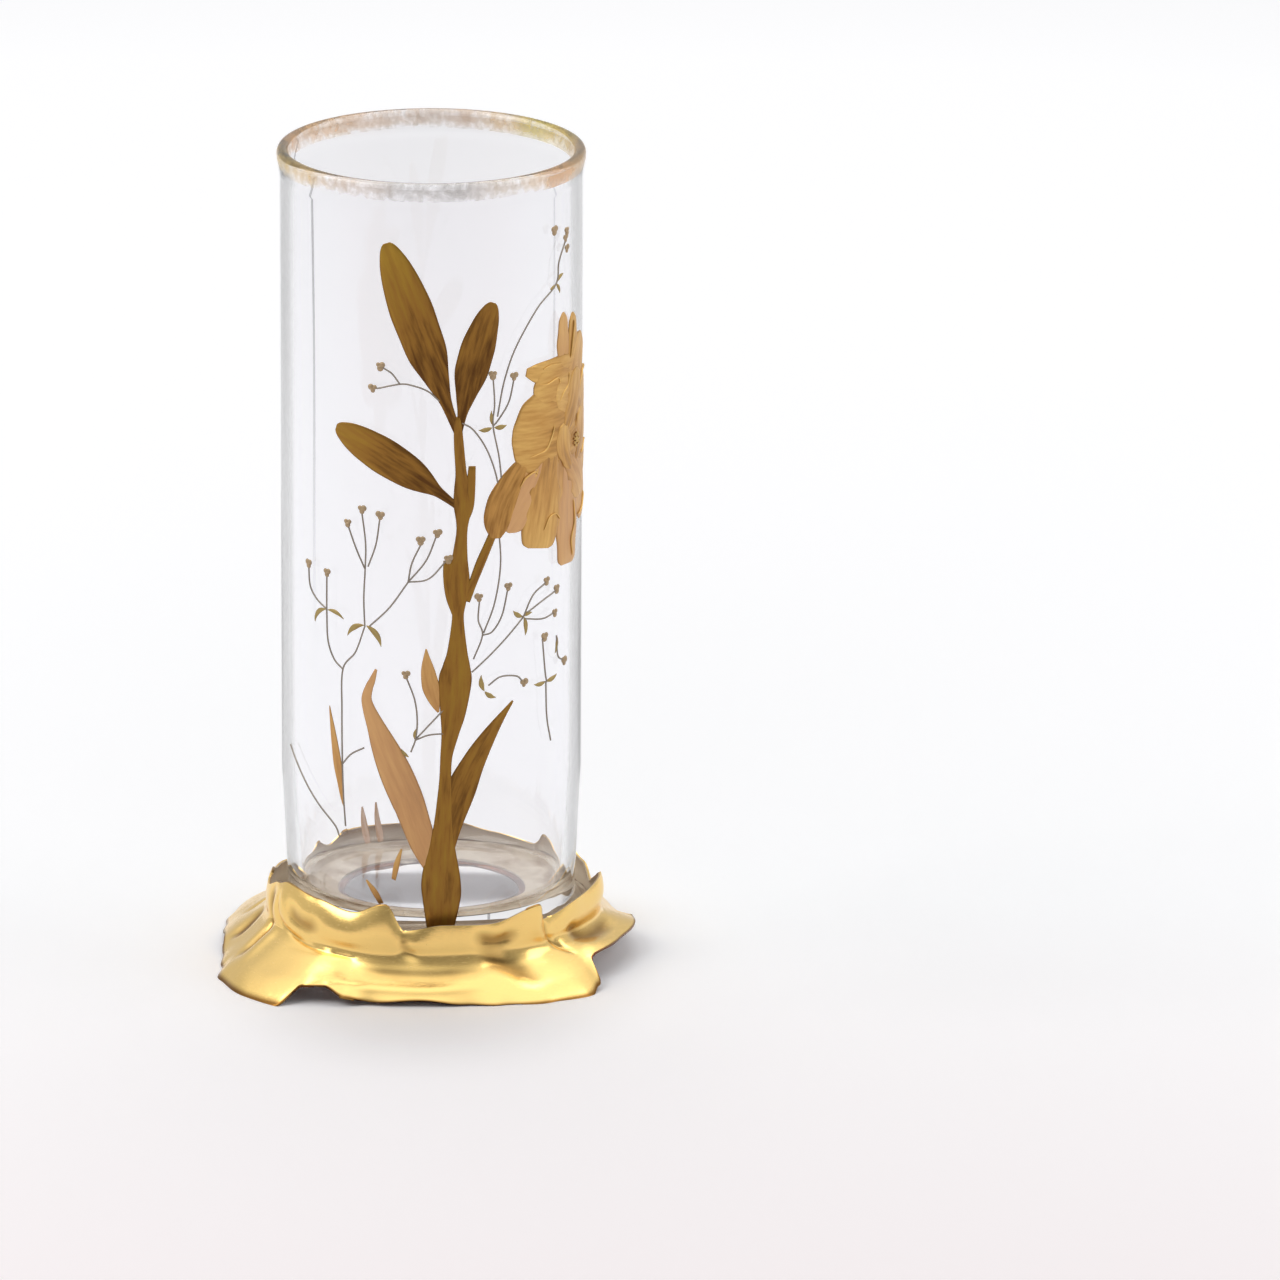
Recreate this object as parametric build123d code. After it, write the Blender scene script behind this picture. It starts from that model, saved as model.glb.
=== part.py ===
"""A clear glass cylinder vase, gilded with a flowering branch and bedded in a ruffled gilt metal foot.

The vase stands on z = 0 with its axis on x = y = 0. Its front is at compass angle 270 degrees, along -Y.
The glass is seated on a flat ring in the throat of the foot and held by a bed of plaster.
The foot is one thin sheet: pointed petals stand up round the glass, and a wavy skirt flares to the ground.
"""
from build123d import *
import math
import os

# Driving dimensions of the glass, in millimetres
total_height = 250.0
tube_radius = 45.0
glass_wall = 3.4
glass_bottom = 7.0
lip_flare = 0.9
lip_length = 9.0
heel_inset = 2.0
heel_round = 3.0
taper_length = 44.0
well_round = 6.0

# Driving dimensions of the foot
collar_gap = 3.6
sheet_thickness = 0.9
throat_top = 14.2
throat_low = 12.6
petal_low = 19.5
petal_rise = 8.0
petal_curl = 4.0
skirt_spread = 8.4
skirt_flare = 16.8
arch_height = 5.5
edge_sink = 0.35

# Driving dimensions of the seat ring and the plaster bed
ring_height = 13.0
ring_thickness = 1.0
ring_width = 21.65
ring_gap = 0.15
bed_thickness = 0.6
bed_rise = 4.5
bed_inset = 2.0

# Driving dimensions of the gilding
gild_thickness = 0.25
rim_band = 6.0
stem_width = 10.0
leaf_width = 11.6
petal_width = 20.0

foot_steps = 72
lip_facets = 4
heel_facets = 2
overrun = 1.0

# Skirt edge round the foot: compass angle, share of the flare, share of the arch height
skirt_shares = (
    (0, 0.28, 1.55), (8, 0.26, 1.4), (17, 0.2, 0.7), (30, 0.48, 0.1), (45, 0.8, 0), (54, 0.9, 0),
    (58, 0.55, 0.45), (66, 0.25, 0.75), (80, 0.1, 0.5), (94, 0.06, 0.7), (108, 0.15, 0.3), (122, 0.42, 0),
    (137, 0.72, 0.1), (147, 0.66, 0.35), (157, 0.6, 0.1), (168, 0.42, 0.3), (180, 0.33, 0.6),
    (190, 0.38, 0.2), (198, 0.52, 0.05), (207, 0.81, 0), (221, 0.95, 0), (231.5, 1, 0),
    (234.5, 0.5, 0.95), (240, 0.3, 0.95), (246, 0.3, 0.5), (253, 0.09, 0.2), (268, 0, 0.35),
    (281, 0.02, 0.1), (292, 0.15, 0), (305, 0.4, 0), (317, 0.57, 0), (322, 0.45, 0.3),
    (328, 0.02, 1.45), (344, 0.12, 1.5))

# Petal edge round the collar: compass angle, share of the rise, share of the curl, share of the bulge
collar_shares = (
    (0, 0.6, 0.5, 1.3), (6, 0.1, -0.2, 0.4), (22, 0.35, 0, 0.1), (42, 0.75, 0.45, 0.6), (47, 0.1, -0.1, 0),
    (66, 0.4, 0, 0.1), (84, 0.7, 0.4, 0.5), (89, 0.15, 0, 0), (103, 0.7, 0, 0.1), (127, 0.75, 0, 0.3),
    (137, 0.1, -0.1, 0), (145, 0.65, 0, 0.2), (152, 0.2, -0.1, 0), (166, 0.35, -0.2, 0.1),
    (181, 0.68, -0.25, 0.5), (192, 0.5, 0.2, 0.2), (204, 0.8, 0.1, 0), (209, 1.05, 0.15, 0.5),
    (226, 0.85, 0.15, 0.6), (241, 0.62, 0.05, 0.4), (254.5, 1.12, 0.1, 0.6), (261, 0.12, -0.3, -0.1),
    (275, 0.4, -0.1, 0.1), (292, 0.35, 0, 0.2), (310, 0.85, 0.5, 0.7), (315, 0.1, -0.2, 0),
    (336, 0.4, 0, 0.3))

# Fall of the skirt from the throat to its edge: share of the reach, share of the height
fall_shares = ((0.28, 0.62), (0.7, 0.26), (1, 0))

# Collar sheet from its top edge down to the throat: share of the height, of the curl, of the bulge
petal_shares = ((1, 1, 0), (0.62, 0.35, 0.66), (0.26, 0.03, 0.5))

# Root, stem and twig from the bottom up: share of the total height, compass angle, share of the stem width
root_shares = (
    (0.09, 274.5, 0.9), (0.13, 274.8, 1.25), (0.18, 275.2, 0.85), (0.24, 275.9, 0.45), (0.296, 276.6, 0.36))
stem_shares = (
    (0.296, 276.6, 0.36), (0.352, 279.2, 0.78), (0.39, 280, 1), (0.429, 280.8, 0.62), (0.467, 281, 0.34),
    (0.51, 281.4, 0.66), (0.544, 281.8, 0.5), (0.578, 282.6, 0.38), (0.608, 283, 0.58),
    (0.647, 282.2, 0.34), (0.685, 281.2, 0.26), (0.724, 280.2, 0.2))
twig_shares = ((0.488, 284.2, 0.27), (0.534, 289.8, 0.31), (0.58, 296.5, 0.24))

# Half width of a leaf and of a petal along its length: share of the length, share of the width
leaf_half_shares = ((0.12, 0.09), (0.34, 0.3), (0.6, 0.5), (0.82, 0.4), (0.95, 0.18))
petal_half_shares = ((0.1, 0.2), (0.4, 0.42), (0.7, 0.5), (0.9, 0.38), (0.98, 0.16))

# Leaves: root angle, root height share, tip angle, tip height share, width share, bend share of the length
branch_leaf_shares = (
    (279.4, 0.712, 254.6, 0.927, 1, 0.02), (281, 0.704, 294.8, 0.852, 0.95, 0.03),
    (281, 0.612, 232.2, 0.694, 0.98, -0.05), (276, 0.144, 303.5, 0.358, 1.03, 0.1))
low_leaf_shares = (
    (275.6, 0.36, 269, 0.431, 0.47, 0), (235.5, 0.224, 228.7, 0.346, 0.26, 0),
    (116, 0.082, 117.8, 0.123, 0.22, 0), (109.4, 0.082, 110.4, 0.123, 0.22, 0))
calyx_shares = (293.5, 0.556, 309, 0.652, 0.8, 0.06)

# Long low leaf that hooks back at its tip, with the columns of the stem
hook_shares = (
    (0.136, 274, 0.5), (0.184, 268, 0.8), (0.24, 262, 1), (0.284, 256, 1), (0.331, 249.4, 0.6),
    (0.364, 245.6, 0.36), (0.388, 248, 0.2), (0.402, 249.6, 0.08))

# Blossom petals, all rooted in its heart: tip angle, tip height share, width share, bend share of the length
heart_angle = 331.0
heart_share = 0.648
eye_shares = (320, 0.626, 342, 0.67, 0.6, 0)
blossom_shares = (
    (340, 0.806, 0.5, 0.03), (328, 0.782, 0.85, -0.05), (311, 0.762, 0.8, -0.06), (302.5, 0.7, 1.3, 0.04),
    (302.5, 0.645, 0.8, -0.03), (297.5, 0.58, 0.6, 0.05), (311, 0.538, 0.9, 0.04), (327, 0.524, 0.8, -0.03),
    (344, 0.506, 0.85, 0.05), (357, 0.562, 0.95, -0.05), (363, 0.64, 1.1, 0.05), (360.5, 0.72, 1, -0.06),
    (351, 0.78, 0.75, 0.05))

glass_floor = ring_height + ring_thickness + bed_thickness
neck_radius = tube_radius + collar_gap
heel_radius = tube_radius - heel_inset
shell_inside = neck_radius - sheet_thickness / 2
ring_radius = shell_inside - ring_gap
hole_radius = ring_radius - ring_width
bore_radius = tube_radius - glass_wall
bore_low = glass_floor + taper_length
bore_high = total_height - lip_length
bore_length = bore_high - bore_low


def eased(shares, angle, column):
    """Value of one column at a compass angle, eased from each row of the table to the next."""
    for near, far in zip(shares, shares[1:] + shares[:1]):
        span = (far[0] - near[0]) % 360
        part = (angle - near[0]) % 360
        if part < span:
            ease = (1 - math.cos(math.pi * part / span)) / 2
            return near[column] + (far[column] - near[column]) * ease


def foot_section(angle):
    """Middle of the sheet at one compass angle, from the petal edge down to the skirt edge."""
    rise = petal_low + petal_rise * eased(collar_shares, angle, 1) - throat_top
    curl = petal_curl * eased(collar_shares, angle, 2)
    bulge = petal_curl * eased(collar_shares, angle, 3)
    section = [(neck_radius + curl * curl_share + bulge * bulge_share, throat_top + rise * height_share)
               for height_share, curl_share, bulge_share in petal_shares]
    section += [(neck_radius, throat_top), (neck_radius, throat_low)]
    reach = skirt_spread + skirt_flare * eased(skirt_shares, angle, 1)
    lift = arch_height * eased(skirt_shares, angle, 2) - edge_sink
    for reach_share, height_share in fall_shares:
        section.append((neck_radius + reach * reach_share, lift + (throat_low - lift) * height_share))
    return section


def polar(radius, angle, height):
    """Point at a radius, a compass angle in degrees and a height."""
    turn = math.radians(angle)
    return Vector(radius * math.cos(turn), radius * math.sin(turn), height)


def foot_shell():
    """Ruffled sheet of even thickness, lofted through rings and cut flat where its lobes stand."""
    middle = []
    for step in range(foot_steps):
        angle = 360 * step / foot_steps
        middle.append([polar(radius, angle, height) for radius, height in foot_section(angle)])
    stations = len(middle[0])
    outside, inside = [], []
    for station in range(stations):
        above, below = max(station - 1, 0), min(station + 1, stations - 1)
        outer_ring, inner_ring = [], []
        for step in range(foot_steps):
            down = middle[step][below] - middle[step][above]
            around = middle[(step + 1) % foot_steps][station] - middle[step - 1][station]
            offset = down.cross(around).normalized() * (sheet_thickness / 2)
            outer_ring.append(middle[step][station] + offset)
            inner_ring.append(middle[step][station] - offset)
        outside.append(Wire([Edge.make_spline(outer_ring, periodic=True)]))
        inside.append(Wire([Edge.make_spline(inner_ring, periodic=True)]))
    faces = Shell.make_loft(outside, ruled=True).faces() + Shell.make_loft(inside, ruled=True).faces()
    faces.append(Face.make_surface_from_curves(outside[0], inside[0]))
    faces.append(Face.make_surface_from_curves(outside[-1], inside[-1]))
    sheet = Solid(Shell(Face.sew_faces(faces)[0]))
    ground_size = 2 * (neck_radius + skirt_spread + skirt_flare + overrun)
    ground = Box(ground_size, ground_size, throat_low, align=(Align.CENTER, Align.CENTER, Align.MAX))
    return sheet - ground


def rounding(across, up, radius, start, turn, facets):
    """Points of a round stretch in radius and height, from a start angle through a turn in degrees."""
    angles = [math.radians(start + turn * step / facets) for step in range(facets + 1)]
    return [(across + radius * math.cos(angle), up + radius * math.sin(angle)) for angle in angles]


def outer_points(grow):
    """Outside of the glass from the axis up to the lip, grown outwards by a small amount."""
    heel_up = glass_floor + heel_round
    heel = rounding(heel_radius - heel_round, heel_up, heel_round + grow, -90, 90, heel_facets)
    side = tube_radius + grow
    return [(0, glass_floor - grow)] + heel + [(side, bore_low), (side, bore_high)]


def glass_tube(grow):
    """Blown tube with a thick closed bottom, a slight taper to its heel and a fire-polished flared lip."""
    lip_round = glass_wall / 2
    lip_radius = bore_radius + lip_round + lip_flare
    lip = rounding(lip_radius, total_height - lip_round, lip_round + grow, 0, 180, lip_facets)
    well_radius = heel_radius - glass_wall - grow
    well_top = glass_floor + glass_bottom + well_round
    well = rounding(well_radius - well_round, well_top + grow, well_round, 0, -90, heel_facets)
    bore = [(bore_radius - grow, bore_high), (bore_radius - grow, bore_low)]
    return spun(outer_points(grow) + lip + bore + well + [(0, glass_floor + glass_bottom + grow)])


def spun(points):
    """Solid of revolution from the corners of a closed outline in radius and height."""
    outline = make_face(Plane.XZ.location * Polyline(points, close=True))
    return revolve(outline, Axis.Z, 360)


def filled_tube(grow):
    """Outside shape of the glass with no hollow, grown by a small amount."""
    side, top, lip_middle = tube_radius + grow, total_height + grow, total_height - glass_wall / 2
    return spun(outer_points(grow) + [(side + lip_flare, lip_middle), (side, top), (0, top)])


def seat_ring():
    """Flat ring let into the throat of the foot, with the round hole that shows the bottom of the glass."""
    ring = Cylinder(ring_radius, ring_thickness) - Cylinder(hole_radius, ring_thickness + overrun)
    return Pos(0, 0, ring_height + ring_thickness / 2) * ring


def setting_bed(glass):
    """Plaster under the heel of the glass and round it, sloping from the collar up to the glass."""
    low = ring_height + ring_thickness
    inner = hole_radius + bed_inset
    shoulder = throat_top + bed_thickness
    block = spun([(inner, low), (ring_radius, low), (ring_radius, shoulder),
                  (heel_radius + bed_inset, low + bed_rise), (inner, low + bed_rise)])
    hollow = Pos(0, 0, glass_floor) * Cylinder(heel_radius - heel_round, bed_rise + overrun,
                                               align=(Align.CENTER, Align.CENTER, Align.MIN))
    return block - glass - hollow


def rim_gilding(glass):
    """Thin wash of gold over the lip, a short way down outside and inside."""
    slab = Cylinder(tube_radius + lip_flare + overrun, rim_band + overrun,
                    align=(Align.CENTER, Align.CENTER, Align.MIN))
    return (glass_tube(gild_thickness) & Pos(0, 0, total_height - rim_band) * slab) - glass


def on_glass(outline, middle_angle, skin):
    """Patch of gilding: an outline in arc length and height, pressed through the skin of the glass."""
    front = Plane(origin=polar(tube_radius, middle_angle, 0), x_dir=polar(1, middle_angle + 90, 0),
                  z_dir=polar(1, middle_angle, 0))
    edges = []
    for points in outline:
        flat = [(tube_radius * math.sin(along / tube_radius), height) for along, height in points]
        edges.append(Spline(flat) if len(flat) > 2 else Line(*flat))
    face = front.location * make_face(edges)
    prism = extrude(face, tube_radius / 2, dir=-front.z_dir) + extrude(face, tube_radius / 4, dir=front.z_dir)
    return prism & skin


def arc_length(angle, middle_angle):
    """Distance round the glass between two compass angles."""
    return tube_radius * math.radians((angle - middle_angle + 180) % 360 - 180)


def leaf(shares, broadest, half_shares, skin):
    """Leaf or petal from its root to its tip, with two smooth sides about a bent middle line."""
    root_angle, root_share, tip_angle, tip_share, width_share, bend_share = shares
    middle_angle = (root_angle + tip_angle) / 2
    start = Vector(arc_length(root_angle, middle_angle), total_height * root_share)
    along = Vector(arc_length(tip_angle, middle_angle), total_height * tip_share) - start
    across = Vector(-along.Y, along.X).normalized()
    outline = []
    for side in (1, -1):
        points = [start]
        for place, half_share in half_shares:
            bow = 4 * bend_share * along.length * place * (1 - place)
            points.append(start + along * place + across * (bow + side * broadest * width_share * half_share))
        points.append(start + along)
        outline.append([(point.X, point.Y) for point in points])
    return on_glass(outline, middle_angle, skin)


def stem(shares, skin):
    """Stem that follows a table of heights, angles and widths, cut square at both ends."""
    middle_angle = sum(row[1] for row in shares) / len(shares)
    left, right = [], []
    for height_share, angle, width_share in shares:
        along = arc_length(angle, middle_angle)
        half = stem_width * width_share / 2
        left.append((along - half, total_height * height_share))
        right.append((along + half, total_height * height_share))
    return on_glass([left, [left[-1], right[-1]], right, [right[0], left[0]]], middle_angle, skin)


def blossom_gilding(skin):
    """Open flower of overlapping petals round one heart, with the eye that covers it and the calyx."""
    heart = (heart_angle, heart_share)
    petals = [leaf(heart + row, petal_width, petal_half_shares, skin) for row in blossom_shares]
    petals.append(leaf(eye_shares, petal_width, leaf_half_shares, skin))
    return Part() + petals + leaf(calyx_shares, leaf_width, leaf_half_shares, skin)


glass = glass_tube(0)
skin = filled_tube(gild_thickness) - filled_tube(0)
main_stem = stem(root_shares, skin) + stem(stem_shares, skin)
blossom = blossom_gilding(skin)
branch_leaves = [leaf(row, leaf_width, leaf_half_shares, skin) - main_stem for row in branch_leaf_shares]
low_leaves = [leaf(row, leaf_width, leaf_half_shares, skin) - main_stem for row in low_leaf_shares]
low_leaves.append(stem(hook_shares, skin) - main_stem - branch_leaves[-1])

nodes = {
    "glass_tube": glass,
    "foot_shell": foot_shell(),
    "seat_ring": seat_ring(),
    "setting_bed": setting_bed(glass),
    "rim_gilding": rim_gilding(glass),
    "stem_gilding": main_stem + (stem(twig_shares, skin) - blossom),
    "leaf_gilding": Part() + branch_leaves,
    "blossom_gilding": blossom,
    "low_gilding": Part() + low_leaves,
}

os.makedirs("parts", exist_ok=True)
for name, shape in nodes.items():
    export_step(shape, os.path.join("parts", name + ".step"))
    print(name, len(shape.solids()), round(shape.volume))
print("mouth: radius", bore_radius, "wall length", bore_length)
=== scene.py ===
"""Dresses the packed model of a clear glass vase, gilded with a flowering branch, in its ruffled foot.

The vase stands on z = 0 with its axis on x = y = 0 and its front at compass angle 270 degrees, along -Y.
Blender's own unit is the metre. Tables give heights and widths in millimetres and places as compass angles.
"""

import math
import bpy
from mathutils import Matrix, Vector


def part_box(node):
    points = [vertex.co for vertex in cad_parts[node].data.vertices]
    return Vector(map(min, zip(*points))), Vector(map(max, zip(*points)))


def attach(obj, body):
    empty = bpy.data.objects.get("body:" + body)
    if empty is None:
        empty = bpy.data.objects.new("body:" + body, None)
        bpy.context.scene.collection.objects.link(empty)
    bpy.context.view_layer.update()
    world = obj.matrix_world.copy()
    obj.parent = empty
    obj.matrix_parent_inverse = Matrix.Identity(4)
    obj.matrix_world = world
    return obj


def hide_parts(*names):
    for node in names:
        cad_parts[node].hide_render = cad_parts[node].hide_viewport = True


bl_info = {
    "name": "Gilded cylinder vase",
    "version": (1, 0, 0),
    "blender": (4, 5, 0),
    "location": "3D View > Sidebar > Vase",
    "description": "Blown glass, chased gilt foot, fired gilding and studio stage of a cylinder vase",
    "category": "Object",
}

from functools import partial

import bmesh
import bpy
import numpy as np
from bpy.props import FloatProperty, FloatVectorProperty, IntProperty, PointerProperty
from mathutils import Matrix, Vector, noise

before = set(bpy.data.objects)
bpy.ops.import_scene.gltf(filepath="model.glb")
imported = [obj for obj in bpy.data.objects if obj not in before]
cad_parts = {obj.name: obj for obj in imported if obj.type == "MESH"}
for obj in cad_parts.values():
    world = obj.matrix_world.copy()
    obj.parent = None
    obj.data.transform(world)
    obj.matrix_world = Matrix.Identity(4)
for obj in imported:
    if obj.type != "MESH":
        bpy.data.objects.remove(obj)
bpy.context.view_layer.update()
MM = 0.001
# Radius of the glass in millimetres: turns degrees round it into millimetres and back
GLASS_RADIUS = 45
# Half width in millimetres that a painted stroke never falls under
LEAST_HALF = 0.12

glass_low, glass_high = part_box("glass_tube")
ring_low, ring_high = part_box("seat_ring")
bed_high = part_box("setting_bed")[1]

# Skirt edge round the foot: compass angle, share of the flare, share of the arch height
SKIRT_SHARES = (
    (0, 0.28, 1.55), (8, 0.26, 1.4), (17, 0.2, 0.7), (30, 0.48, 0.1), (45, 0.8, 0), (54, 0.892, 0),
    (58, 0.55, 0.45), (66, 0.25, 0.75), (80, 0.1, 0.5), (94, 0.06, 0.7), (108, 0.15, 0.3), (122, 0.42, 0),
    (137, 0.72, 0.1), (147, 0.66, 0.35), (157, 0.6, 0.1), (168, 0.42, 0.3), (180, 0.33, 0.6),
    (190, 0.38, 0.2), (198, 0.52, 0.05), (207, 0.81, 0), (221, 0.95, 0), (231.5, 0.95, 0),
    (234.5, 0.5, 0.95), (240, 0.3, 0.95), (246, 0.3, 0.5), (253, 0.09, 0.2), (268, 0, 0.35),
    (281, 0.02, 0.1), (292, 0.15, 0), (305, 0.4, 0), (317, 0.57, 0), (322, 0.45, 0.3), (328, 0.02, 1.45),
    (344, 0.12, 1.5))

# Petal edge round the collar: compass angle, share of the rise, share of the curl, share of the bulge
COLLAR_SHARES = (
    (0, 0.6, 0.5, 1.3), (6, 0.1, -0.2, 0.4), (22, 0.35, 0, 0.1), (42, 0.75, 0.45, 0.6), (47, 0.1, -0.1, 0),
    (66, 0.4, 0, 0.1), (84, 0.7, 0.4, 0.5), (89, 0.15, 0, 0), (103, 0.7, 0, 0.1), (127, 0.75, 0, 0.3),
    (137, 0.1, -0.1, 0), (145, 0.65, 0, 0.2), (152, 0.2, -0.1, 0), (166, 0.35, -0.2, 0.1),
    (181, 0.68, -0.25, 0.5), (192, 0.5, 0.2, 0.6), (202, 0.85, 0, 0.8), (209, 1.05, -0.1, 0.9),
    (226, 0.85, -0.2, 0.9), (241, 0.62, -0.25, 0.8), (254.5, 1.12, -0.1, 0.8), (261, 0.12, -0.3, 0.2),
    (275, 0.4, -0.1, 0.1), (292, 0.35, 0, 0.2), (310, 0.85, 0.5, 0.7), (315, 0.1, -0.2, 0),
    (336, 0.4, 0, 0.3))

# Skirt from the throat to its edge: share of the reach, and of the height where it is hollow and where full
FALL_SHARES = (
    (0.1, 0.84, 0.9), (0.24, 0.68, 0.79), (0.4, 0.53, 0.66), (0.57, 0.39, 0.52), (0.74, 0.25, 0.37),
    (0.89, 0.11, 0.19), (1, 0, 0))

# Petal from its edge down to the throat: share of the height, of the curl, of the bulge
PETAL_SHARES = ((1, 1, 0), (0.84, 0.68, 0.26), (0.64, 0.38, 0.46), (0.42, 0.14, 0.56), (0.2, 0.02, 0.52))

# Chased marks in the foot: depth, half width, then compass angles with heights. A minus depth is a ridge.
CHASED_MARKS = (
    (0.6, 0.75, ((206, 24.6), (207, 17.7), (212, 14.3), (222, 12.5), (238, 11.3))),
    (-0.4, 1.8, ((208.5, 25), (210.5, 19.4), (216, 15.9), (226, 14), (238, 13))),
    (0.9, 3, ((214, 21), (217.6, 18.6), (223, 17.6), (229, 18.6))),
    (0.55, 0.8, ((235, 11.8), (244, 11.4))),
    (1.5, 2, ((200.6, 25), (198.4, 18), (198, 14), (200, 9), (203.6, 4.5))),
    (-0.5, 2.6, ((206, 23), (204, 16), (206, 9), (209, 4))),
    (0.55, 2.2, ((246, 8.4), (258, 7.6), (272, 7.4), (292, 8.4))),
    (-0.3, 1.4, ((238, 5.4), (250, 4.6), (268, 4.2), (292, 4.8))),
    (0.7, 1.9, ((261, 19.5), (262, 15.5), (266, 12.6))),
    (0.9, 1.08, ((315, 19.6), (315.5, 15.6), (319, 11.6), (324, 8.6))),
    (-0.52, 2.16, ((309, 23), (311, 17), (316, 12.6))),
    (1.1, 2.97, ((328, 14.6), (333, 11.6), (342, 10.6), (356, 11))),
    (0.9, 1.35, ((6, 19.8), (7, 15.6), (12, 11), (18, 7))),
    (1.2, 3.24, ((24, 13), (31, 9), (38, 4.6))),
    (0.9, 0.7, ((47, 19.8), (47.5, 15.6), (52, 11.6), (60, 8))),
    (1.1, 2.7, ((35, 19.6), (38.6, 17.2), (42, 18.6))),
    (0.9, 1.35, ((89, 20), (90, 15.4), (95, 11.4), (101, 6.4))),
    (-0.6, 2.43, ((82, 22), (84, 16.6), (90, 12.4))),
    (1.2, 2.97, ((108, 19.6), (115, 17.4), (122, 19))),
    (0.9, 1.08, ((137, 19.6), (137.5, 15), (142, 11), (147, 6.6))),
    (0.8, 1.49, ((104, 7), (113, 6.2), (123, 5.6))),
    (0.9, 1.35, ((152, 20), (153, 15), (160, 10.6), (168, 6))),
    (-0.52, 2.43, ((158, 20), (160, 15.6), (166, 11.6))),
    (1.1, 2.7, ((172, 19), (178, 17), (184, 18.6))),
    (1.2, 2.7, ((176, 11), (181, 7.6), (185, 4.6))),
    (1, 2.43, ((287, 18.6), (294, 16.8), (301, 18.2))),
    (1.1, 2.97, ((288, 12.6), (297, 9), (305, 5))))

# Stem and shoots from the bottom up: compass angle, height, half width
STEM = (
    (274.2, 19, 4), (274.6, 27, 5.5), (274.8, 32.5, 6.2), (275, 38.5, 5.6), (275.2, 45, 4.2),
    (275.5, 52, 3), (275.9, 60, 2.3), (276.2, 67, 1.8), (276.6, 74, 1.8), (278, 81, 2.6), (279.2, 88, 3.9),
    (280, 97.5, 5), (280.5, 102.4, 4.1), (280.8, 107, 3), (281, 116.7, 1.8), (281.2, 121.6, 2.3),
    (281.4, 127.5, 3.3), (281.8, 136, 2.3), (282.6, 144.5, 1.7), (283, 152, 2.9), (282.6, 157, 2.4),
    (282.2, 161.8, 1.7), (281.4, 170, 1.5), (281, 176, 1.2), (280.9, 179, 0.6))
SHOOTS = (
    ((284.2, 122, 1.2), (286.8, 127.6, 1.3), (289.8, 133.5, 1.5), (293, 139, 1.4), (296.5, 145, 1.3)),
    ((283, 146, 1.1), (285.2, 151, 1.5), (286, 157.6, 1.4), (286.5, 163.6, 1.1)),
    ((280.4, 118, 1.2), (278.6, 124, 1.8), (277.8, 130, 1.9), (277.5, 135, 1.6)))
LOW_SHOOTS = (
    ((274, 32, 0.4), (272.6, 36.5, 1.8), (270.4, 41, 3), (268, 46, 4), (265, 53, 4.6), (262, 60, 5),
     (259, 65.6, 5.2), (256, 71, 5), (252.6, 77, 4.2), (249.4, 82.8, 3), (246.8, 87.4, 2.2),
     (245.6, 91, 1.7), (246.6, 94.4, 1.3), (248, 97, 1), (249.6, 100.5, 0.4)),
    ((119.4, 20, 0.9), (120, 24, 1.3), (121, 28.6, 1.1), (121.6, 33, 0.3)),
    ((113.4, 20, 0.9), (113.6, 24, 1.2), (114.6, 29, 0.9), (115, 33.6, 0.3)),
    ((256, 35, 0.7), (257.4, 40, 0.9), (259.4, 45, 0.3)),
    ((250.8, 27, 0.8), (248, 30.6, 1), (244.6, 34, 0.3)))

# Half width of a leaf and of a petal along its length: share of the length, share of the width
LEAF_HALF_SHARES = (
    (0, 0.08), (0.1, 0.11), (0.18, 0.15), (0.28, 0.28), (0.41, 0.43), (0.57, 0.5), (0.74, 0.47),
    (0.87, 0.37), (0.95, 0.25), (0.985, 0.16), (1, 0.08))
SLIM_HALF_SHARES = ((0, 0.06), (0.15, 0.28), (0.4, 0.5), (0.65, 0.42), (0.88, 0.17), (1, 0.04))
CALYX_HALF_SHARES = ((0, 0.16), (0.14, 0.4), (0.34, 0.5), (0.6, 0.44), (0.85, 0.3), (1, 0.12))
SQUARE_HALF_SHARES = ((0, 0.2), (0.3, 0.4), (0.6, 0.5), (0.86, 0.49), (0.96, 0.43), (1, 0.28))
PETAL_HALF_SHARES = ((0, 0.08), (0.1, 0.2), (0.4, 0.42), (0.7, 0.5), (0.9, 0.38), (0.98, 0.16), (1, 0.06))

# Leaves: root angle, root height, tip angle, tip height, width, bend as a share of the length
BRANCH_LEAVES = (
    (280.9, 174, 253.9, 231.6, 13.3, 0), (281.3, 173, 294.9, 213, 10.8, 0.03),
    (281.4, 151, 232.2, 173.3, 11.4, -0.05))
LOW_LEAVES = ((273.6, 88, 269, 107.7, 5.2, 0.04), (235.5, 56, 228.7, 86.6, 3, 0))
HORN_LEAF = (276, 36, 303.5, 89.5, 8.8, 0.1)

# Blossom, lowest petal first: root angle and height, tip angle and height, width, bend, lift, share of pink
PETALS = (
    (336, 165, 357, 140.5, 19, -0.05, 0.2, 0.5), (336, 162, 363, 160, 22, 0.05, 0.4, 0.2),
    (336, 165, 360.5, 180, 20, -0.06, 0.3, 0), (334, 168, 351, 195, 15, 0.05, 0.5, 0.1),
    (334, 174, 331, 205, 6.8, 0.02, 0.1, 0.5), (336, 174, 339, 203.5, 7.4, -0.04, 0.3, 0),
    (331, 168, 305, 149, 17, 0, 0.1, 0.4), (331, 166, 326, 139, 14, 0, 0.2, 0.3),
    (318, 166, 300.5, 142.2, 10, 0.06, 0.4, 0.9), (329, 162, 312, 160, 14, 0, 0.3, 0),
    (343, 183, 313, 184, 12, 0, 0.7, 0),
    (341, 170, 303, 171.6, 24.5, 0.02, 0.9, 0), (346, 172, 325, 181, 12, -0.1, 1.1, 0.1),
    (331, 160, 349, 146, 12, 0.08, 1, 0.4), (334, 163, 353, 168, 13, -0.08, 1.2, 0.1),
    (331, 168, 343, 186, 11, -0.06, 1.4, 0), (337, 156, 331, 171, 8, 0.14, 1.5, 0.1),
    (341, 158, 346, 173, 8, -0.16, 1.7, 0.2))
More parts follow.
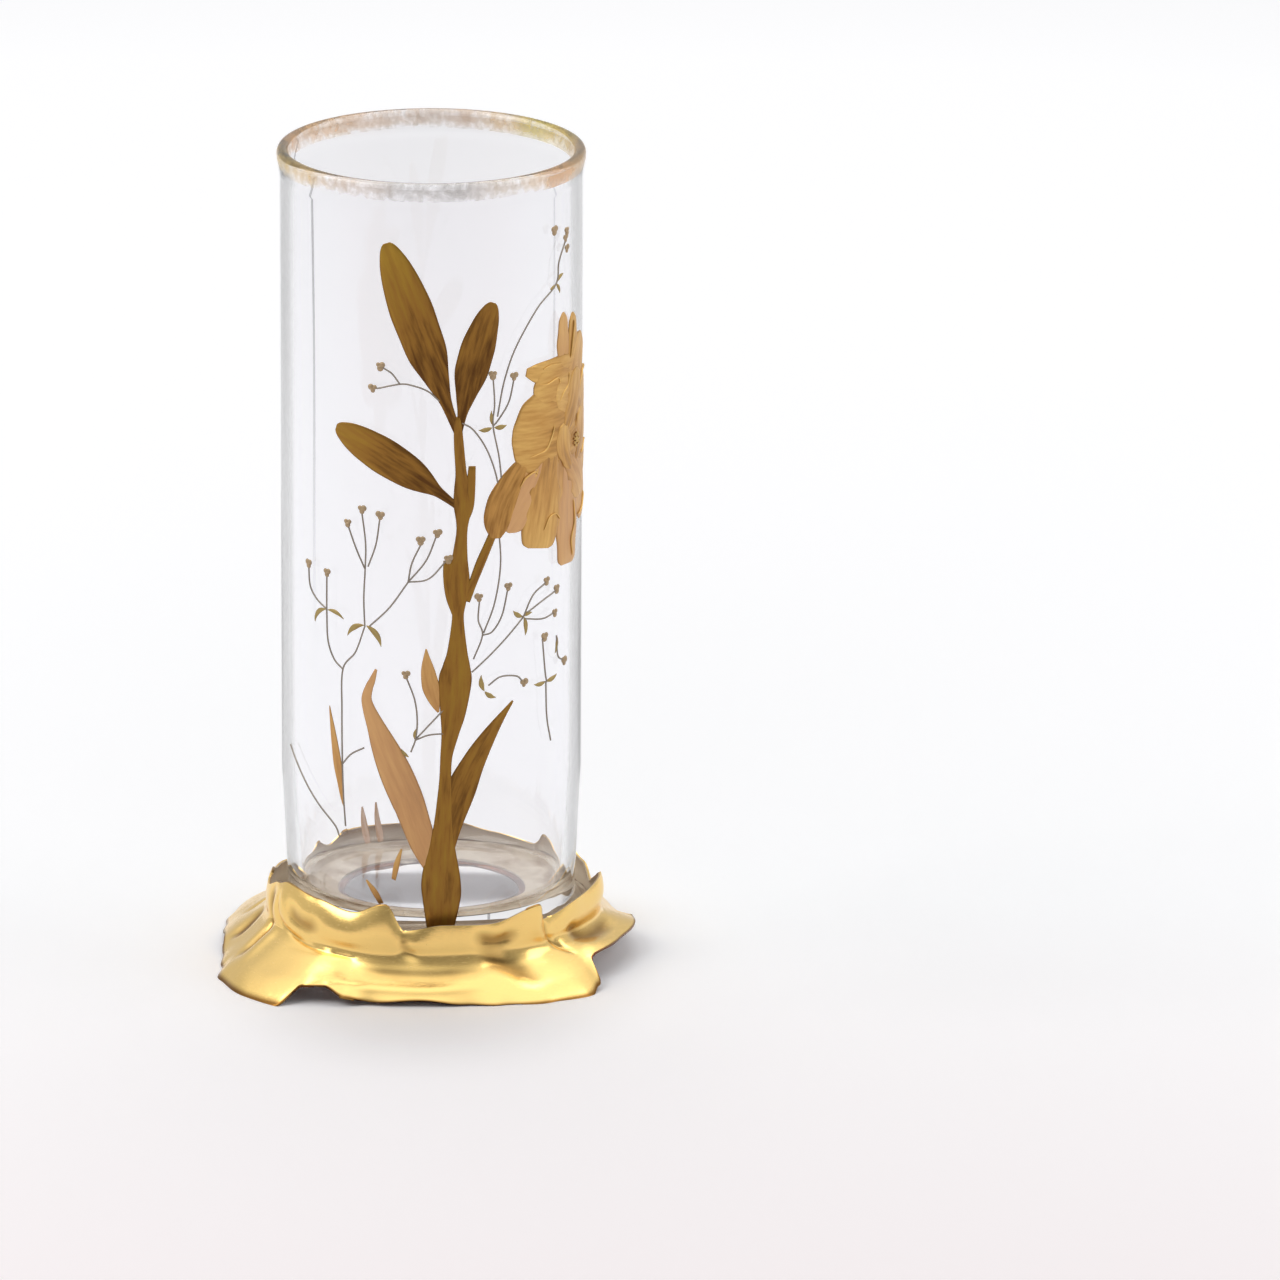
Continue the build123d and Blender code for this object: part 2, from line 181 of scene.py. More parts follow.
LOW_PETALS = ((334, 163, 334.5, 126.8, 13.4, 0.02, 0.4, 0.8), (323, 164, 315.6, 135, 15.4, 0, 0.7, 0.1))
LEFT_PETAL = (345, 186.5, 309.4, 190, 10, 0.03)
CALYX = (296, 140.6, 309.5, 163.5, 10, 0.1)
HEART = (341, 164)

# Raised lines in the blossom, in a lighter gold that paints the highlights along them: compass angle, height,
# half width
PETAL_LINES = (
    ((317.5, 189.9, 0.12), (322, 190.4, 0.25), (328.9, 189.8, 0.12)),
    ((315.6, 185.4, 0.12), (320, 185, 0.25), (326.3, 185.8, 0.19), (328, 183.6, 0.12)),
    ((327, 178, 0.12), (330.4, 180.6, 0.31), (333.6, 182.4, 0.25), (335, 186, 0.12)),
    ((310.5, 163.8, 0.12), (315.4, 164.3, 0.25), (319.4, 165, 0.31), (322.6, 168.6, 0.28),
     (324.3, 172, 0.12)),
    ((306, 155, 0.12), (308.6, 157.6, 0.28), (313, 159, 0.25), (315, 158, 0.12)),
    ((318, 140, 0.12), (321, 143.6, 0.22), (325, 144.2, 0.22), (328, 142, 0.12)),
    ((338, 128.6, 0.12), (337, 134, 0.25), (340, 139, 0.19), (339, 146, 0.12)),
    ((345, 178, 0.12), (350, 183, 0.25), (356, 184, 0.19)),
    ((349, 158, 0.12), (355, 161, 0.25), (360, 160, 0.12)),
    ((345, 140, 0.12), (350, 141, 0.25), (355, 145, 0.19)),
    ((336, 190, 0.12), (338, 196, 0.22), (339.4, 201, 0.12)))

# Gold left on the rim: compass angle, cover outside, cover inside, share of yellow, share of grey
WASH_SHARES = (
    (0, 0.35, 0.6, 0.2, 0.2), (25, 0.3, 0.75, 0.7, 0), (45, 0.3, 0.95, 1, 0), (62, 0.3, 0.6, 0.3, 0.1),
    (78, 0.25, 0.55, 0, 0.4), (90, 0.25, 0.22, 0, 0.5), (103, 0.3, 0.3, 0, 0.4), (118, 0.35, 0.55, 0, 0.2),
    (140, 0.3, 0.5, 0.1, 0.1), (165, 0.3, 0.4, 0, 0), (195, 0.45, 0.2, 0.6, 0), (215, 0.4, 0.15, 0.4, 0),
    (240, 0.38, 0.1, 0, 0.5), (262, 0.62, 0.1, 0, 1), (280, 0.55, 0.1, 0, 1), (300, 0.3, 0.1, 0.3, 0.5),
    (317, 0.4, 0.15, 0.2, 0), (322, 1.2, 0.3, 0, 0), (334, 1.1, 0.4, 0, 0), (340, 0.4, 0.4, 0.2, 0.1))

# Pen strokes of the sprigs: compass angles with heights
STRANDS = (
    ((274, 184), (269.6, 187), (264, 188.6), (259.1, 188.9), (250, 187)),
    ((259.1, 188.9), (256, 192), (252.4, 193.6)),
    ((294.8, 190), (295.4, 182), (294.8, 175.3), (297.4, 165), (298.6, 155), (298.8, 148)),
    ((303.6, 188.4), (301.4, 182), (297, 177), (294.8, 175.3)),
    ((282.6, 177), (287, 174.6), (292.4, 168), (296.4, 159), (297.6, 150)),
    ((296.6, 178), (299.6, 189), (305, 199), (315, 209), (325.9, 214.8), (327.6, 221), (332.3, 226.6)),
    ((237.9, 143.6), (241.4, 137), (245.2, 131)), ((243.9, 148.2), (245.4, 139), (245.2, 131)),
    ((251.2, 147), (249.6, 139), (246.4, 132)), ((245.2, 131), (244.6, 122), (245, 113.3)),
    ((267.2, 140.2), (263.6, 134), (262.2, 128.2)), ((272.8, 142.4), (269, 135), (262.2, 128.2)),
    ((276.8, 135.1), (270, 129.4), (262.2, 128.2)), ((262.2, 128.2), (255, 120), (247, 113.6)),
    ((245, 113.3), (241, 105), (235.3, 98.9), (234.8, 86), (235, 68.7), (236, 50)),
    ((217.1, 127.6), (218, 122), (222, 118.6), (227.4, 116.4)), ((227.5, 126.6), (227.4, 116)),
    ((227.4, 116), (228, 107), (231, 101.6), (235.3, 98.9)),
    ((261.6, 98.4), (264.6, 92), (265.6, 85.6), (265, 79.8), (263.2, 75.6)),
    ((235, 69.4), (239, 73), (244.6, 75.6)), ((275.4, 88.7), (270, 84), (265, 79.6)),
    ((276, 81.4), (270, 81), (265, 79.4)), ((289.4, 122), (288.9, 116), (290.6, 111.2), (287, 104)),
    ((301, 124), (298.6, 116.6), (294.6, 112), (290.6, 111.2)),
    ((296.8, 146), (298, 133), (295.6, 121), (291, 111.8)), ((286.4, 100), (297, 107), (308.1, 114.8)),
    ((308.1, 114.8), (313, 121), (319.6, 123.6)), ((310, 116), (318, 118.4), (325.6, 120)),
    ((309, 114.2), (318, 112.8), (324.6, 113.4)), ((293, 95.4), (298, 97.6), (305, 97), (308, 94.8)),
    ((318, 106.6), (319.6, 96), (320.6, 92.6)), ((320, 93), (320.6, 82), (323, 74)),
    ((326.6, 106), (327.6, 99.6), (331.6, 97.4)),
    ((201.9, 69.2), (212, 62), (222, 55), (230.7, 49.6), (233, 46)))

# Small buds: compass angle and height of the middle of each
BUDS = (
    (251.4, 194), (248.4, 187), (294.8, 191), (303.8, 189.6), (332.6, 227.4), (237.6, 144.6),
    (243.8, 149.4), (251.4, 148.2), (266.9, 141.2), (273.2, 143.4), (277.4, 135.4), (217, 128.8),
    (227.5, 127.8), (261.2, 99.6), (289.3, 123), (301.4, 125.2), (320.4, 124.2), (326.8, 120.6),
    (325.6, 113.4), (308.6, 94.4), (319.4, 107), (332.4, 97), (324.7, 231.2), (333.7, 229.5),
    (333.7, 224.1))

# Bracts where the pen strokes fork: root angle, root height, tip angle, tip height, width, bend
BRACTS = (
    (294.4, 174.8, 289, 174.4, 1.5, 0.08), (295.4, 174.8, 300.6, 175, 1.6, -0.08),
    (294.8, 175.4, 294.2, 180, 1.2, 0.05), (325.6, 214.4, 322, 213.6, 1.2, 0.1),
    (326.2, 215, 331, 217, 1.2, 0.1), (326, 214.6, 328.4, 211.4, 1.1, 0.1),
    (244.6, 113.6, 237.4, 109.6, 1.7, -0.16), (245.6, 113.6, 251.6, 107.6, 1.9, 0.14),
    (227, 116.2, 220.8, 111.4, 1.5, -0.2), (227.8, 116.2, 235.6, 114.4, 1.3, 0.12),
    (308, 115, 303.6, 117.4, 1.5, 0.1), (308.6, 114.8, 309.2, 109, 1.5, 0.08),
    (308.2, 115, 312.6, 115.6, 1.3, 0.1), (291.4, 93.8, 290.2, 98.8, 1.6, 0.1),
    (291.6, 93.6, 296.2, 91.4, 1.5, -0.1), (319.8, 93, 313.6, 93, 1.4, 0.08),
    (320.4, 93, 327, 94, 1.5, -0.08), (264.8, 79.4, 265.4, 83, 1, 0.1), (262.4, 74, 259.6, 76.4, 1, 0.1),
    (326.8, 106, 325.8, 100.6, 1.2, 0.1))


def number(name, text, value, **more):
    """A property for a plain number."""
    return FloatProperty(name=name, description=text, default=value, **more)


def length(name, text, millimetres):
    """A property for a size, with its default given in millimetres."""
    return number(name, text, millimetres * MM, min=0, unit="LENGTH", subtype="DISTANCE", precision=5)


def linear(hexadecimal):
    """Scene-linear colour of an sRGB hex value."""
    parts = [int(hexadecimal[place:place + 2], 16) / 255 for place in (1, 3, 5)]
    return [part / 12.92 if part <= 0.04045 else ((part + 0.055) / 1.055) ** 2.4 for part in parts]


def colour(name, text, hexadecimal):
    """A property for a colour, with its default given as an sRGB hex value."""
    return FloatVectorProperty(name=name, description=text, size=3, subtype="COLOR", min=0, max=1,
                               default=linear(hexadecimal))


class GlassSizes(bpy.types.PropertyGroup):
    """Sizes of the blown glass."""

    lip_flare: length("Lip flare", "How far the lip stands out from the side", 0.9)
    lip_length: length("Lip length", "Height of the flared end", 9)
    wall: length("Wall", "Thickness of the side", 3.4)
    bottom: length("Bottom", "Thickness of the closed bottom", 7)
    heel_inset: length("Heel inset", "How much the heel is narrower than the side", 2)
    heel_round: length("Heel round", "Outside radius of the heel", 3)
    taper: length("Taper", "Height over which the side narrows to the heel", 44)
    well_round: length("Well round", "Inside radius round the bottom", 6)
    waver: length("Waver", "Unevenness of the blown inside", 0.05)
    segments: IntProperty(name="Segments", description="Faces round the glass", default=288, min=32)


class FootSizes(bpy.types.PropertyGroup):
    """Sizes of the ruffled foot, its seat ring and the plaster."""

    collar_gap: length("Collar gap", "From the glass to the middle of the sheet", 3.6)
    sheet: length("Sheet", "Thickness of the metal sheet", 0.9)
    throat_top: length("Throat top", "Height where the petals start", 14.2)
    throat_low: length("Throat low", "Height where the skirt starts", 12.6)
    petal_low: length("Petal low", "Height of a petal edge with no rise", 19.5)
    petal_rise: length("Petal rise", "Height that a share of one adds to a petal", 8)
    petal_curl: length("Petal curl", "How far a petal leans out", 4)
    skirt_spread: length("Skirt spread", "Reach of the skirt where it flares least", 8.4)
    skirt_flare: length("Skirt flare", "Reach that a share of one adds to the skirt", 16.8)
    arch: length("Arch", "Height of the arches under the skirt", 5.5)
    edge_sink: length("Edge sink", "How far the edge was ground flat", 0.35)
    hammer: length("Hammer", "Depth of the hammered unevenness", 0.2)
    steps: IntProperty(name="Steps", description="Faces round the foot", default=540, min=72)
    stations: IntProperty(name="Stations", description="Faces from petal edge to skirt edge", default=84)
    hole: length("Hole", "Radius of the hole in the seat ring", 26.35)
    plaster_rise: length("Plaster rise", "Unevenness of the plaster", 0.7)


class GildingSizes(bpy.types.PropertyGroup):
    """Sizes of the fired gilding."""

    rim_band: length("Rim band", "Height of the gold wash on the rim", 6)
    wash: length("Wash", "Thickness of the gold wash", 0.06)
    relief: length("Relief", "Height of the raised gold over the glass", 0.34)
    sunk: length("Sunk", "How deep the back of the gilding lies in the glass", 0.08)
    thread: length("Thread", "Radius of a pen stroke", 0.26)
    thread_step: length("Thread step", "Spacing of points along a pen stroke", 0.7)
    bud: length("Bud", "Radius of one grain of a bud", 0.95)


class Finishes(bpy.types.PropertyGroup):
    """Colours of the finishes."""

    gilt: colour("Gilt", "Fire gilding on the outside of the foot", "#f8d282")
    # Worn gilt also paints the shade in the band along the skirt edge of the foot.
    gilt_dark: colour("Worn gilt", "Gilding worn and darkened in the hollows", "#845d2a")
    copper: colour("Copper", "Bare copper under the foot", "#94552f")
    copper_dark: colour("Browned copper", "Oxide on the bare copper", "#4c2412")
    plaster: colour("Plaster", "Setting plaster and its film inside the petals", "#d6c8b4")
    plaster_dark: colour("Stained plaster", "Darker plaster near the petal edges", "#97795a")
    wash: colour("Gold wash", "Worn wash on the rim", "#ecc294")
    # The table greys the wash most at the front of the rim and inside at its back.
    wash_grey: colour("Rubbed wash", "Wash rubbed down to a grey film", "#bdb7b0")
    wash_yellow: colour("Yellow wash", "Yellower patches of the wash", "#e3cf72")
    pink: colour("Pink gold", "Pinkish gold of some petals", "#d0a27a")
    paste: colour("Raised gold", "Raised gold of stem and leaves", "#946a2c")
    paste_dark: colour("Brown gold", "Darker streaks and outlines in the raised gold", "#5e3c15")
    paste_light: colour("Green gold", "Lighter streaks in the raised gold", "#a3802f")
    petal: colour("Pale gold", "Matt gold of the blossom", "#c2924f")
    petal_light: colour("Light pale gold", "Lighter streaks in the blossom", "#e2b96d")
    petal_dark: colour("Dark pale gold", "Darker edges in the blossom", "#966a35")
    fired_back: colour("Fired back", "Back of the gilding seen through the glass", "#d2a67c")
    fired_pale: colour("Pale fired back", "Pale streaks in the back of the gilding", "#e9d0bd")
    pen: colour("Pen gold", "Thin pen strokes", "#a2978a")
    bud: colour("Bud gold", "Grains of the buds", "#c2a884")
    bract: colour("Bract gold", "Green gold of the bracts", "#aa9560")


class StageSettings(bpy.types.PropertyGroup):
    """Camera and light of the studio."""

    focal_pixels: number("Focal pixels", "Focal length in picture pixels", 12750)
    scale_pixels: number("Scale pixels", "Picture pixels per millimetre", 3.31)
    foot_column: number("Foot column", "Pixel column of the middle of the foot", 431.5)
    foot_row: number("Foot row", "Pixel row of the middle of the foot", 947)
    pitch: number("Pitch", "How far the camera looks down", math.radians(16.8), subtype="ANGLE")
    roll: number("Roll", "Lean of the camera", math.radians(0.27), subtype="ANGLE")
    key_power: number("Key power", "Large soft lamp, left", 6, unit="POWER")
    fill_power: number("Fill power", "Large soft lamp, right", 2.6, unit="POWER")
    top_power: number("Top power", "Large soft lamp over the back", 4, unit="POWER")
    sky: number("Sky", "Strength of the even light all round", 0.32, min=0)
    floor_glow: number("Floor glow", "Light that the paper gives of itself", 0.15, min=0)


def eased(shares, angle, column):
    """Value of one column at a compass angle, eased from each row of the table to the next."""
    for near, far in zip(shares, shares[1:] + shares[:1]):
        span = (far[0] - near[0]) % 360
        part = (angle - near[0]) % 360
        if part < span:
            ease = (1 - math.cos(math.pi * part / span)) / 2
            return near[column] + (far[column] - near[column]) * ease


def smooth_line(points, samples):
    """Even samples of a curve through control points, which lie along the last axis but one."""
    padded = np.concatenate([2 * points[..., :1, :] - points[..., 1:2, :], points,
                             2 * points[..., -1:, :] - points[..., -2:-1, :]], axis=-2)
    place = np.linspace(0, points.shape[-2] - 1, samples)
    first = np.minimum(place.astype(int), points.shape[-2] - 2)
    part = (place - first)[:, None]
    before, near, far, after = (padded[..., first + step, :] for step in range(4))
    return 0.5 * (2 * near + (far - before) * part + (2 * before - 5 * near + 4 * far - after) * part ** 2
                  + (3 * near - before - 3 * far + after) * part ** 3)


def rounding(across, up, radius, start, turn, facets):
    """Points of a round stretch in radius and height, from a start angle through a turn in degrees."""
    angles = np.radians(start + turn * np.linspace(0, 1, facets + 1))
    return [(across + radius * math.cos(angle), up + radius * math.sin(angle)) for angle in angles]


def polar(radius, turn, height):
    """Points at a radius, an angle in radians and a height."""
    return np.stack([radius * np.cos(turn), radius * np.sin(turn), height], axis=-1)


def spun(profile, segments):
    """Rings of points from an outline in radius and height, turned round the axis."""
    turns = 2 * math.pi * np.arange(segments) / segments
    radius, height = np.array(profile).T[..., None]
    return polar(radius, turns, np.repeat(height, segments, axis=1))


def skin(rows, looped=False, slots=None, **values):
    """Closed skin through rows of points, each a loop. Looped rows meet, others close in a pole."""
    count, width = rows.shape[:2]
    corners = np.arange(count * width).reshape(count, width)
    lower = corners if looped else corners[:-1]
    upper = np.roll(corners, -1, axis=0) if looped else corners[1:]
    quads = np.stack([lower, np.roll(lower, -1, axis=1), np.roll(upper, -1, axis=1), upper], axis=-1)
    faces = quads.reshape(-1, 4).tolist()
    points = rows.reshape(-1, 3)
    columns = np.tile(np.arange(width), len(lower))
    face_slots = np.zeros(len(faces), int) if slots is None else np.asarray(slots)[columns]
    point_values = {name: value.reshape(count * width, -1) for name, value in values.items()}
    if not looped:
        points = np.vstack([points, rows[0].mean(axis=0), rows[-1].mean(axis=0)])
        for ring, pole in ((corners[0][::-1], count * width), (corners[-1], count * width + 1)):
            faces += [[int(near), int(far), pole] for near, far in zip(ring, np.roll(ring, -1))]
            face_slots = np.append(face_slots, np.zeros(width, int) if slots is None else slots)
        for name, value in point_values.items():
            point_values[name] = np.vstack([value, value[:width].mean(axis=0), value[-width:].mean(axis=0)])
    return points, faces, face_slots, point_values


def make_piece(name, skins, materials, nodes=(), sharp=50):
    """One finished piece from its skins, shaded smooth, riding on the vase."""
    points, faces, face_slots = [], [], []
    values = {key: [] for key in skins[0][3]}
    for part_points, part_faces, part_slots, part_values in skins:
        start = sum(len(block) for block in points)
        points.append(part_points)
        faces += [[corner + start for corner in face] for face in part_faces]
        face_slots.append(part_slots)
        for key, block in part_values.items():
            values[key].append(block)
    mesh = bpy.data.meshes.new(name)
    mesh.from_pydata(np.vstack(points).tolist(), [], faces)
    for key, blocks in values.items():
        block = np.vstack(blocks)
        kind = "FLOAT" if block.shape[1] == 1 else "FLOAT_VECTOR"
        layer = mesh.attributes.new(key, kind, "POINT")
        layer.data.foreach_set("value" if kind == "FLOAT" else "vector", block.ravel().astype(np.float32))
    turned = bmesh.new()
    turned.from_mesh(mesh)
    bmesh.ops.recalc_face_normals(turned, faces=turned.faces)
    turned.to_mesh(mesh)
    turned.free()
    mesh.shade_smooth()
    mesh.set_sharp_from_angle(angle=math.radians(sharp))
    piece = place_piece(name, mesh, materials, nodes)
    mesh.polygons.foreach_set("material_index", np.concatenate(face_slots).astype(np.int32))
    return piece


def place_piece(name, mesh, materials, nodes):
    """Links a finished mesh, gives it its materials and lets it ride on the vase."""
    piece = bpy.data.objects.new(name, mesh)
    bpy.context.scene.collection.objects.link(piece)
    mesh.materials.clear()
    for material in materials:
        mesh.materials.append(material)
    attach(piece, "root")
    if nodes:
        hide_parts(*nodes)
    return piece


def add_node(tree, kind, inputs=None, stops=None, **settings):
    """Adds a node: settings are its own, inputs are values, or the sockets or nodes that feed them.

    A node that is given as an input feeds it from its first output in use.
    """
    made = tree.nodes.new(kind)
    for key, value in settings.items():
        setattr(made, key, value)
    for key, value in (inputs or {}).items():
        if isinstance(value, bpy.types.Node):
            value = next(socket for socket in value.outputs if socket.enabled)
        if isinstance(value, bpy.types.NodeSocket):
            tree.links.new(value, made.inputs[key])
        else:
            made.inputs[key].default_value = value
    if stops:
        ramp = made.color_ramp.elements
        while len(ramp) < len(stops):
            ramp.new(0)
        for element, (place, shade) in zip(ramp, stops):
            element.position = place
            element.color = (shade, shade, shade, 1) if isinstance(shade, (int, float)) else (*shade, 1)
    return made


def new_material(name):
    """An empty node material, what adds a node to it, and the Object coordinates that its patterns read."""
    material = bpy.data.materials.new(name)
    material.use_nodes = True
    material.node_tree.nodes.clear()
    add = partial(add_node, material.node_tree)
    return material, add, add("ShaderNodeTexCoord").outputs["Object"]


def per_size(millimetres):
    """Noise scale whose features are about this many millimetres apart in Object coordinates."""
    return 1 / (millimetres * MM)


def mixed(add, factor, near, far):
    """Node that mixes two colours, or two nodes' colours, by a factor."""
    near, far = (value if isinstance(value, bpy.types.Node) else (*value, 1) for value in (near, far))
    return add("ShaderNodeMix", {0: factor, 6: near, 7: far}, data_type="RGBA")


def clear_glass():
    """Blown soda-lime glass: it bends light, and a painted shade turns its outer side grey where it is seen
    side on.
    """
    material, add, place = new_material("blown_soda_lime_glass")
    # Painted shade: the outer side turns grey where it is seen side on, and less so near the lip.
    facing = add("ShaderNodeLayerWeight", {"Blend": 0.5}).outputs["Facing"]
    pale = (0.985, 0.983, 0.995)
    edge = add("ShaderNodeValToRGB", {"Fac": facing}, stops=(
        (0, pale), (0.6, pale), (0.66, 0.56), (0.74, 0.42), (0.9, 0.38), (1, 0.5)))
    height = add("ShaderNodeSeparateXYZ", {0: place}).outputs["Z"]
    flat = add("ShaderNodeVectorMath", {0: place, 1: (1, 1, 0)}, operation="MULTIPLY")
    radius = add("ShaderNodeVectorMath", {0: flat}, operation="LENGTH")
    outer = add("ShaderNodeMapRange", {
        "Value": radius, "From Min": glass_high.x - 0.0035, "From Max": glass_high.x - 0.003})
    lip = add("ShaderNodeMapRange", {
        "Value": height, "From Min": glass_high.z - 0.004, "From Max": glass_high.z - 0.001,
        "To Min": 1, "To Max": 0.35})
    side = add("ShaderNodeMath", {0: outer, 1: lip}, operation="MULTIPLY")
    tint = mixed(add, side, pale, edge)
    glass = add("ShaderNodeBsdfPrincipled", {
        "Base Color": tint, "Roughness": 0, "IOR": 1.5, "Transmission Weight": 1})
    clear = add("ShaderNodeBsdfTransparent", {"Color": (0.93, 0.94, 0.94, 1)})
    shadow = add("ShaderNodeLightPath").outputs["Is Shadow Ray"]
    both = add("ShaderNodeMixShader", {0: shadow, 1: glass, 2: clear})
    add("ShaderNodeOutputMaterial", {"Surface": both})
    return material


def burnished_gilt(finish):
    """Burnished fire-gilt brass: warm, soft reflections, browner in chased hollows and worn edges, and darker
    in a painted shade along the skirt edge.
    """
    material, add, place = new_material("burnished_gilt_brass")
    hollow = add("ShaderNodeAttribute", attribute_name="hollow").outputs["Fac"]
    patches = add("ShaderNodeTexNoise", {"Vector": place, "Scale": per_size(9), "Detail": 5})
    brushed = add("ShaderNodeMapping", {"Vector": place, "Scale": (1, 1, 5)})
    scratches = add("ShaderNodeTexNoise", {
        "Vector": brushed, "Scale": per_size(1.6), "Detail": 6, "Roughness": 0.65})
    # Patches plus the darkness from the foot: patina, wear, and the painted shade along the skirt edge.
    worn = add("ShaderNodeMath", {0: patches, 1: 0.22, 2: hollow}, operation="MULTIPLY_ADD")
    shade = add("ShaderNodeValToRGB", {"Fac": worn}, stops=((0.2, 0), (0.75, 1)))
    dull = add("ShaderNodeMapRange", {
        "Value": scratches, "From Min": 0.3, "From Max": 0.7, "To Min": 0.15, "To Max": 0.29})
    fine = add("ShaderNodeBump", {"Height": scratches, "Strength": 0.25, "Distance": 0.00006})
    gilt = add("ShaderNodeBsdfPrincipled", {
        "Base Color": mixed(add, shade, finish.gilt, finish.gilt_dark), "Metallic": 1,
        "Roughness": dull, "Normal": fine})
    add("ShaderNodeOutputMaterial", {"Surface": gilt})
    return material


def browned_copper(finish, sizes):
    """Bare copper browned by age, with a chalky film of plaster inside the petals over the throat."""
    material, add, place = new_material("browned_copper")
    patches = add("ShaderNodeTexNoise", {"Vector": place, "Scale": per_size(14), "Detail": 6})
    grain = add("ShaderNodeTexNoise", {"Vector": place, "Scale": per_size(0.9), "Detail": 4})
    tone = add("ShaderNodeValToRGB", {"Fac": patches}, stops=((0.36, 0), (0.66, 1)))
    metal = mixed(add, tone, finish.copper, finish.copper_dark)
    height = add("ShaderNodeSeparateXYZ", {0: place}).outputs["Z"]
    uneven = add("ShaderNodeMath", {0: patches, 1: 0.006, 2: height}, operation="MULTIPLY_ADD")
    film = add("ShaderNodeMapRange", {
        "Value": uneven, "From Min": sizes.throat_low + 0.005, "From Max": sizes.throat_top + 0.004})
    stain = add("ShaderNodeMapRange", {
        "Value": uneven, "From Min": sizes.petal_low + 0.001, "From Max": sizes.petal_low + 0.008})
    chalk = mixed(add, stain, finish.plaster, finish.plaster_dark)
    bare = add("ShaderNodeMath", {0: 1, 1: film}, operation="SUBTRACT")
    dull = add("ShaderNodeMapRange", {"Value": film, "To Min": 0.36, "To Max": 0.8})
    bump = add("ShaderNodeBump", {"Height": grain, "Strength": 0.3, "Distance": 0.0001})
    copper = add("ShaderNodeBsdfPrincipled", {
        "Base Color": mixed(add, film, metal, chalk), "Metallic": bare,
        "Roughness": dull, "Normal": bump})
    add("ShaderNodeOutputMaterial", {"Surface": copper})
    return material


def setting_plaster(finish):
    """Cast gypsum plaster with gritty voids and clouds of darker stain."""
    material, add, place = new_material("cast_plaster")
    grit = add("ShaderNodeTexNoise", {"Vector": place, "Scale": per_size(1.4), "Detail": 6})
    cloud = add("ShaderNodeTexNoise", {"Vector": place, "Scale": per_size(11), "Detail": 3})
    bump = add("ShaderNodeBump", {"Height": grit, "Strength": 0.6, "Distance": 0.0003})
    tone = add("ShaderNodeMapRange", {"Value": cloud, "From Min": 0.4, "From Max": 0.75})
    chalk = add("ShaderNodeBsdfPrincipled", {
        "Base Color": mixed(add, tone, finish.plaster, finish.plaster_dark), "Roughness": 0.9,
        "Normal": bump})
    add("ShaderNodeOutputMaterial", {"Surface": chalk})
    return material


def gold_wash(finish):
    """Liquid gold wash on the rim, rubbed through to bare glass in specks, thin enough to see through."""
    material, add, place = new_material("rubbed_gold_wash")
    left = add("ShaderNodeAttribute", attribute_name="left").outputs["Vector"]
    cover, yellow, grey = add("ShaderNodeSeparateXYZ", {0: left}).outputs
    specks = add("ShaderNodeTexNoise", {
        "Vector": place, "Scale": per_size(2), "Detail": 3, "Roughness": 0.55})
    clouds = add("ShaderNodeTexNoise", {"Vector": place, "Scale": per_size(8), "Detail": 2})
    both = add("ShaderNodeMath", {0: clouds, 1: 0.8, 2: specks}, operation="MULTIPLY_ADD")
    total = add("ShaderNodeMath", {0: both, 1: cover}, operation="ADD")
    alpha = add("ShaderNodeMapRange", {"Value": total, "From Min": 0.75, "From Max": 2, "To Max": 0.66})
    tone = mixed(add, yellow, finish.wash, finish.wash_yellow)
    gold = add("ShaderNodeBsdfPrincipled", {
        "Base Color": mixed(add, grey, tone, finish.wash_grey), "Metallic": 0.3, "Roughness": 0.5,
        "Alpha": alpha})
    add("ShaderNodeOutputMaterial", {"Surface": gold})
    return material


def painted_gold(name, light, middle, dark, blush, roughness):
    """Gold painted on the glass and fired: soft metal, greener towards the tips, with faint brush streaks."""
    material, add, place = new_material(name)
    grain = add("ShaderNodeAttribute", attribute_name="grain").outputs["Vector"]
    looks = add("ShaderNodeAttribute", attribute_name="looks").outputs["Vector"]
    edge, ripe, pink = add("ShaderNodeSeparateXYZ", {0: looks}).outputs
    along = add("ShaderNodeMapping", {"Vector": grain, "Scale": (0.7, 0.09, 1)})
    streaks = add("ShaderNodeTexNoise", {"Vector": along, "Scale": 1, "Detail": 4, "Roughness": 0.55})
    mottle = add("ShaderNodeTexNoise", {"Vector": place, "Scale": per_size(0.8), "Detail": 3})
    brushed = add("ShaderNodeMath", {0: streaks, 1: 0.8, 2: ripe}, operation="MULTIPLY_ADD")
    tone = add("ShaderNodeValToRGB", {"Fac": brushed}, stops=(
        (0.16, dark), (0.4, middle), (0.78, light)))
    rosy = mixed(add, pink, tone, blush)
    lined = add("ShaderNodeMapRange", {"Value": edge, "From Min": 0.88, "From Max": 0.99, "To Max": 0.55})
    both = add("ShaderNodeMath", {0: mottle, 1: 0.4, 2: streaks}, operation="MULTIPLY_ADD")
    bump = add("ShaderNodeBump", {"Height": both, "Strength": 0.25, "Distance": 0.0001})
    gold = add("ShaderNodeBsdfPrincipled", {
        "Base Color": mixed(add, lined, rosy, dark), "Metallic": 0.8,
        "Roughness": roughness, "Normal": bump})
    add("ShaderNodeOutputMaterial", {"Surface": gold})
    return material


def fired_back(finish):
    """Back of the fired gilding, seen through the glass: matt tan, with pale streaks."""
    material, add = new_material("fired_gilding_back")[:2]
    grain = add("ShaderNodeAttribute", attribute_name="grain").outputs["Vector"]
    along = add("ShaderNodeMapping", {"Vector": grain, "Scale": (0.9, 0.12, 1)})
    streaks = add("ShaderNodeTexNoise", {"Vector": along, "Scale": 1, "Detail": 4})
    tone = add("ShaderNodeMapRange", {"Value": streaks, "From Min": 0.4, "From Max": 0.7})
    matt = add("ShaderNodeBsdfPrincipled", {
        "Base Color": mixed(add, tone, finish.fired_back, finish.fired_pale), "Roughness": 0.6,
        "Metallic": 0.1})
    add("ShaderNodeOutputMaterial", {"Surface": matt})
    return material


def petal_gold(name, finish, roughness):
    """Pale gold of the blossom and the low leaves, by how rough it is."""
    return painted_gold(name, finish.petal_light, finish.petal, finish.petal_dark, finish.pink, roughness)


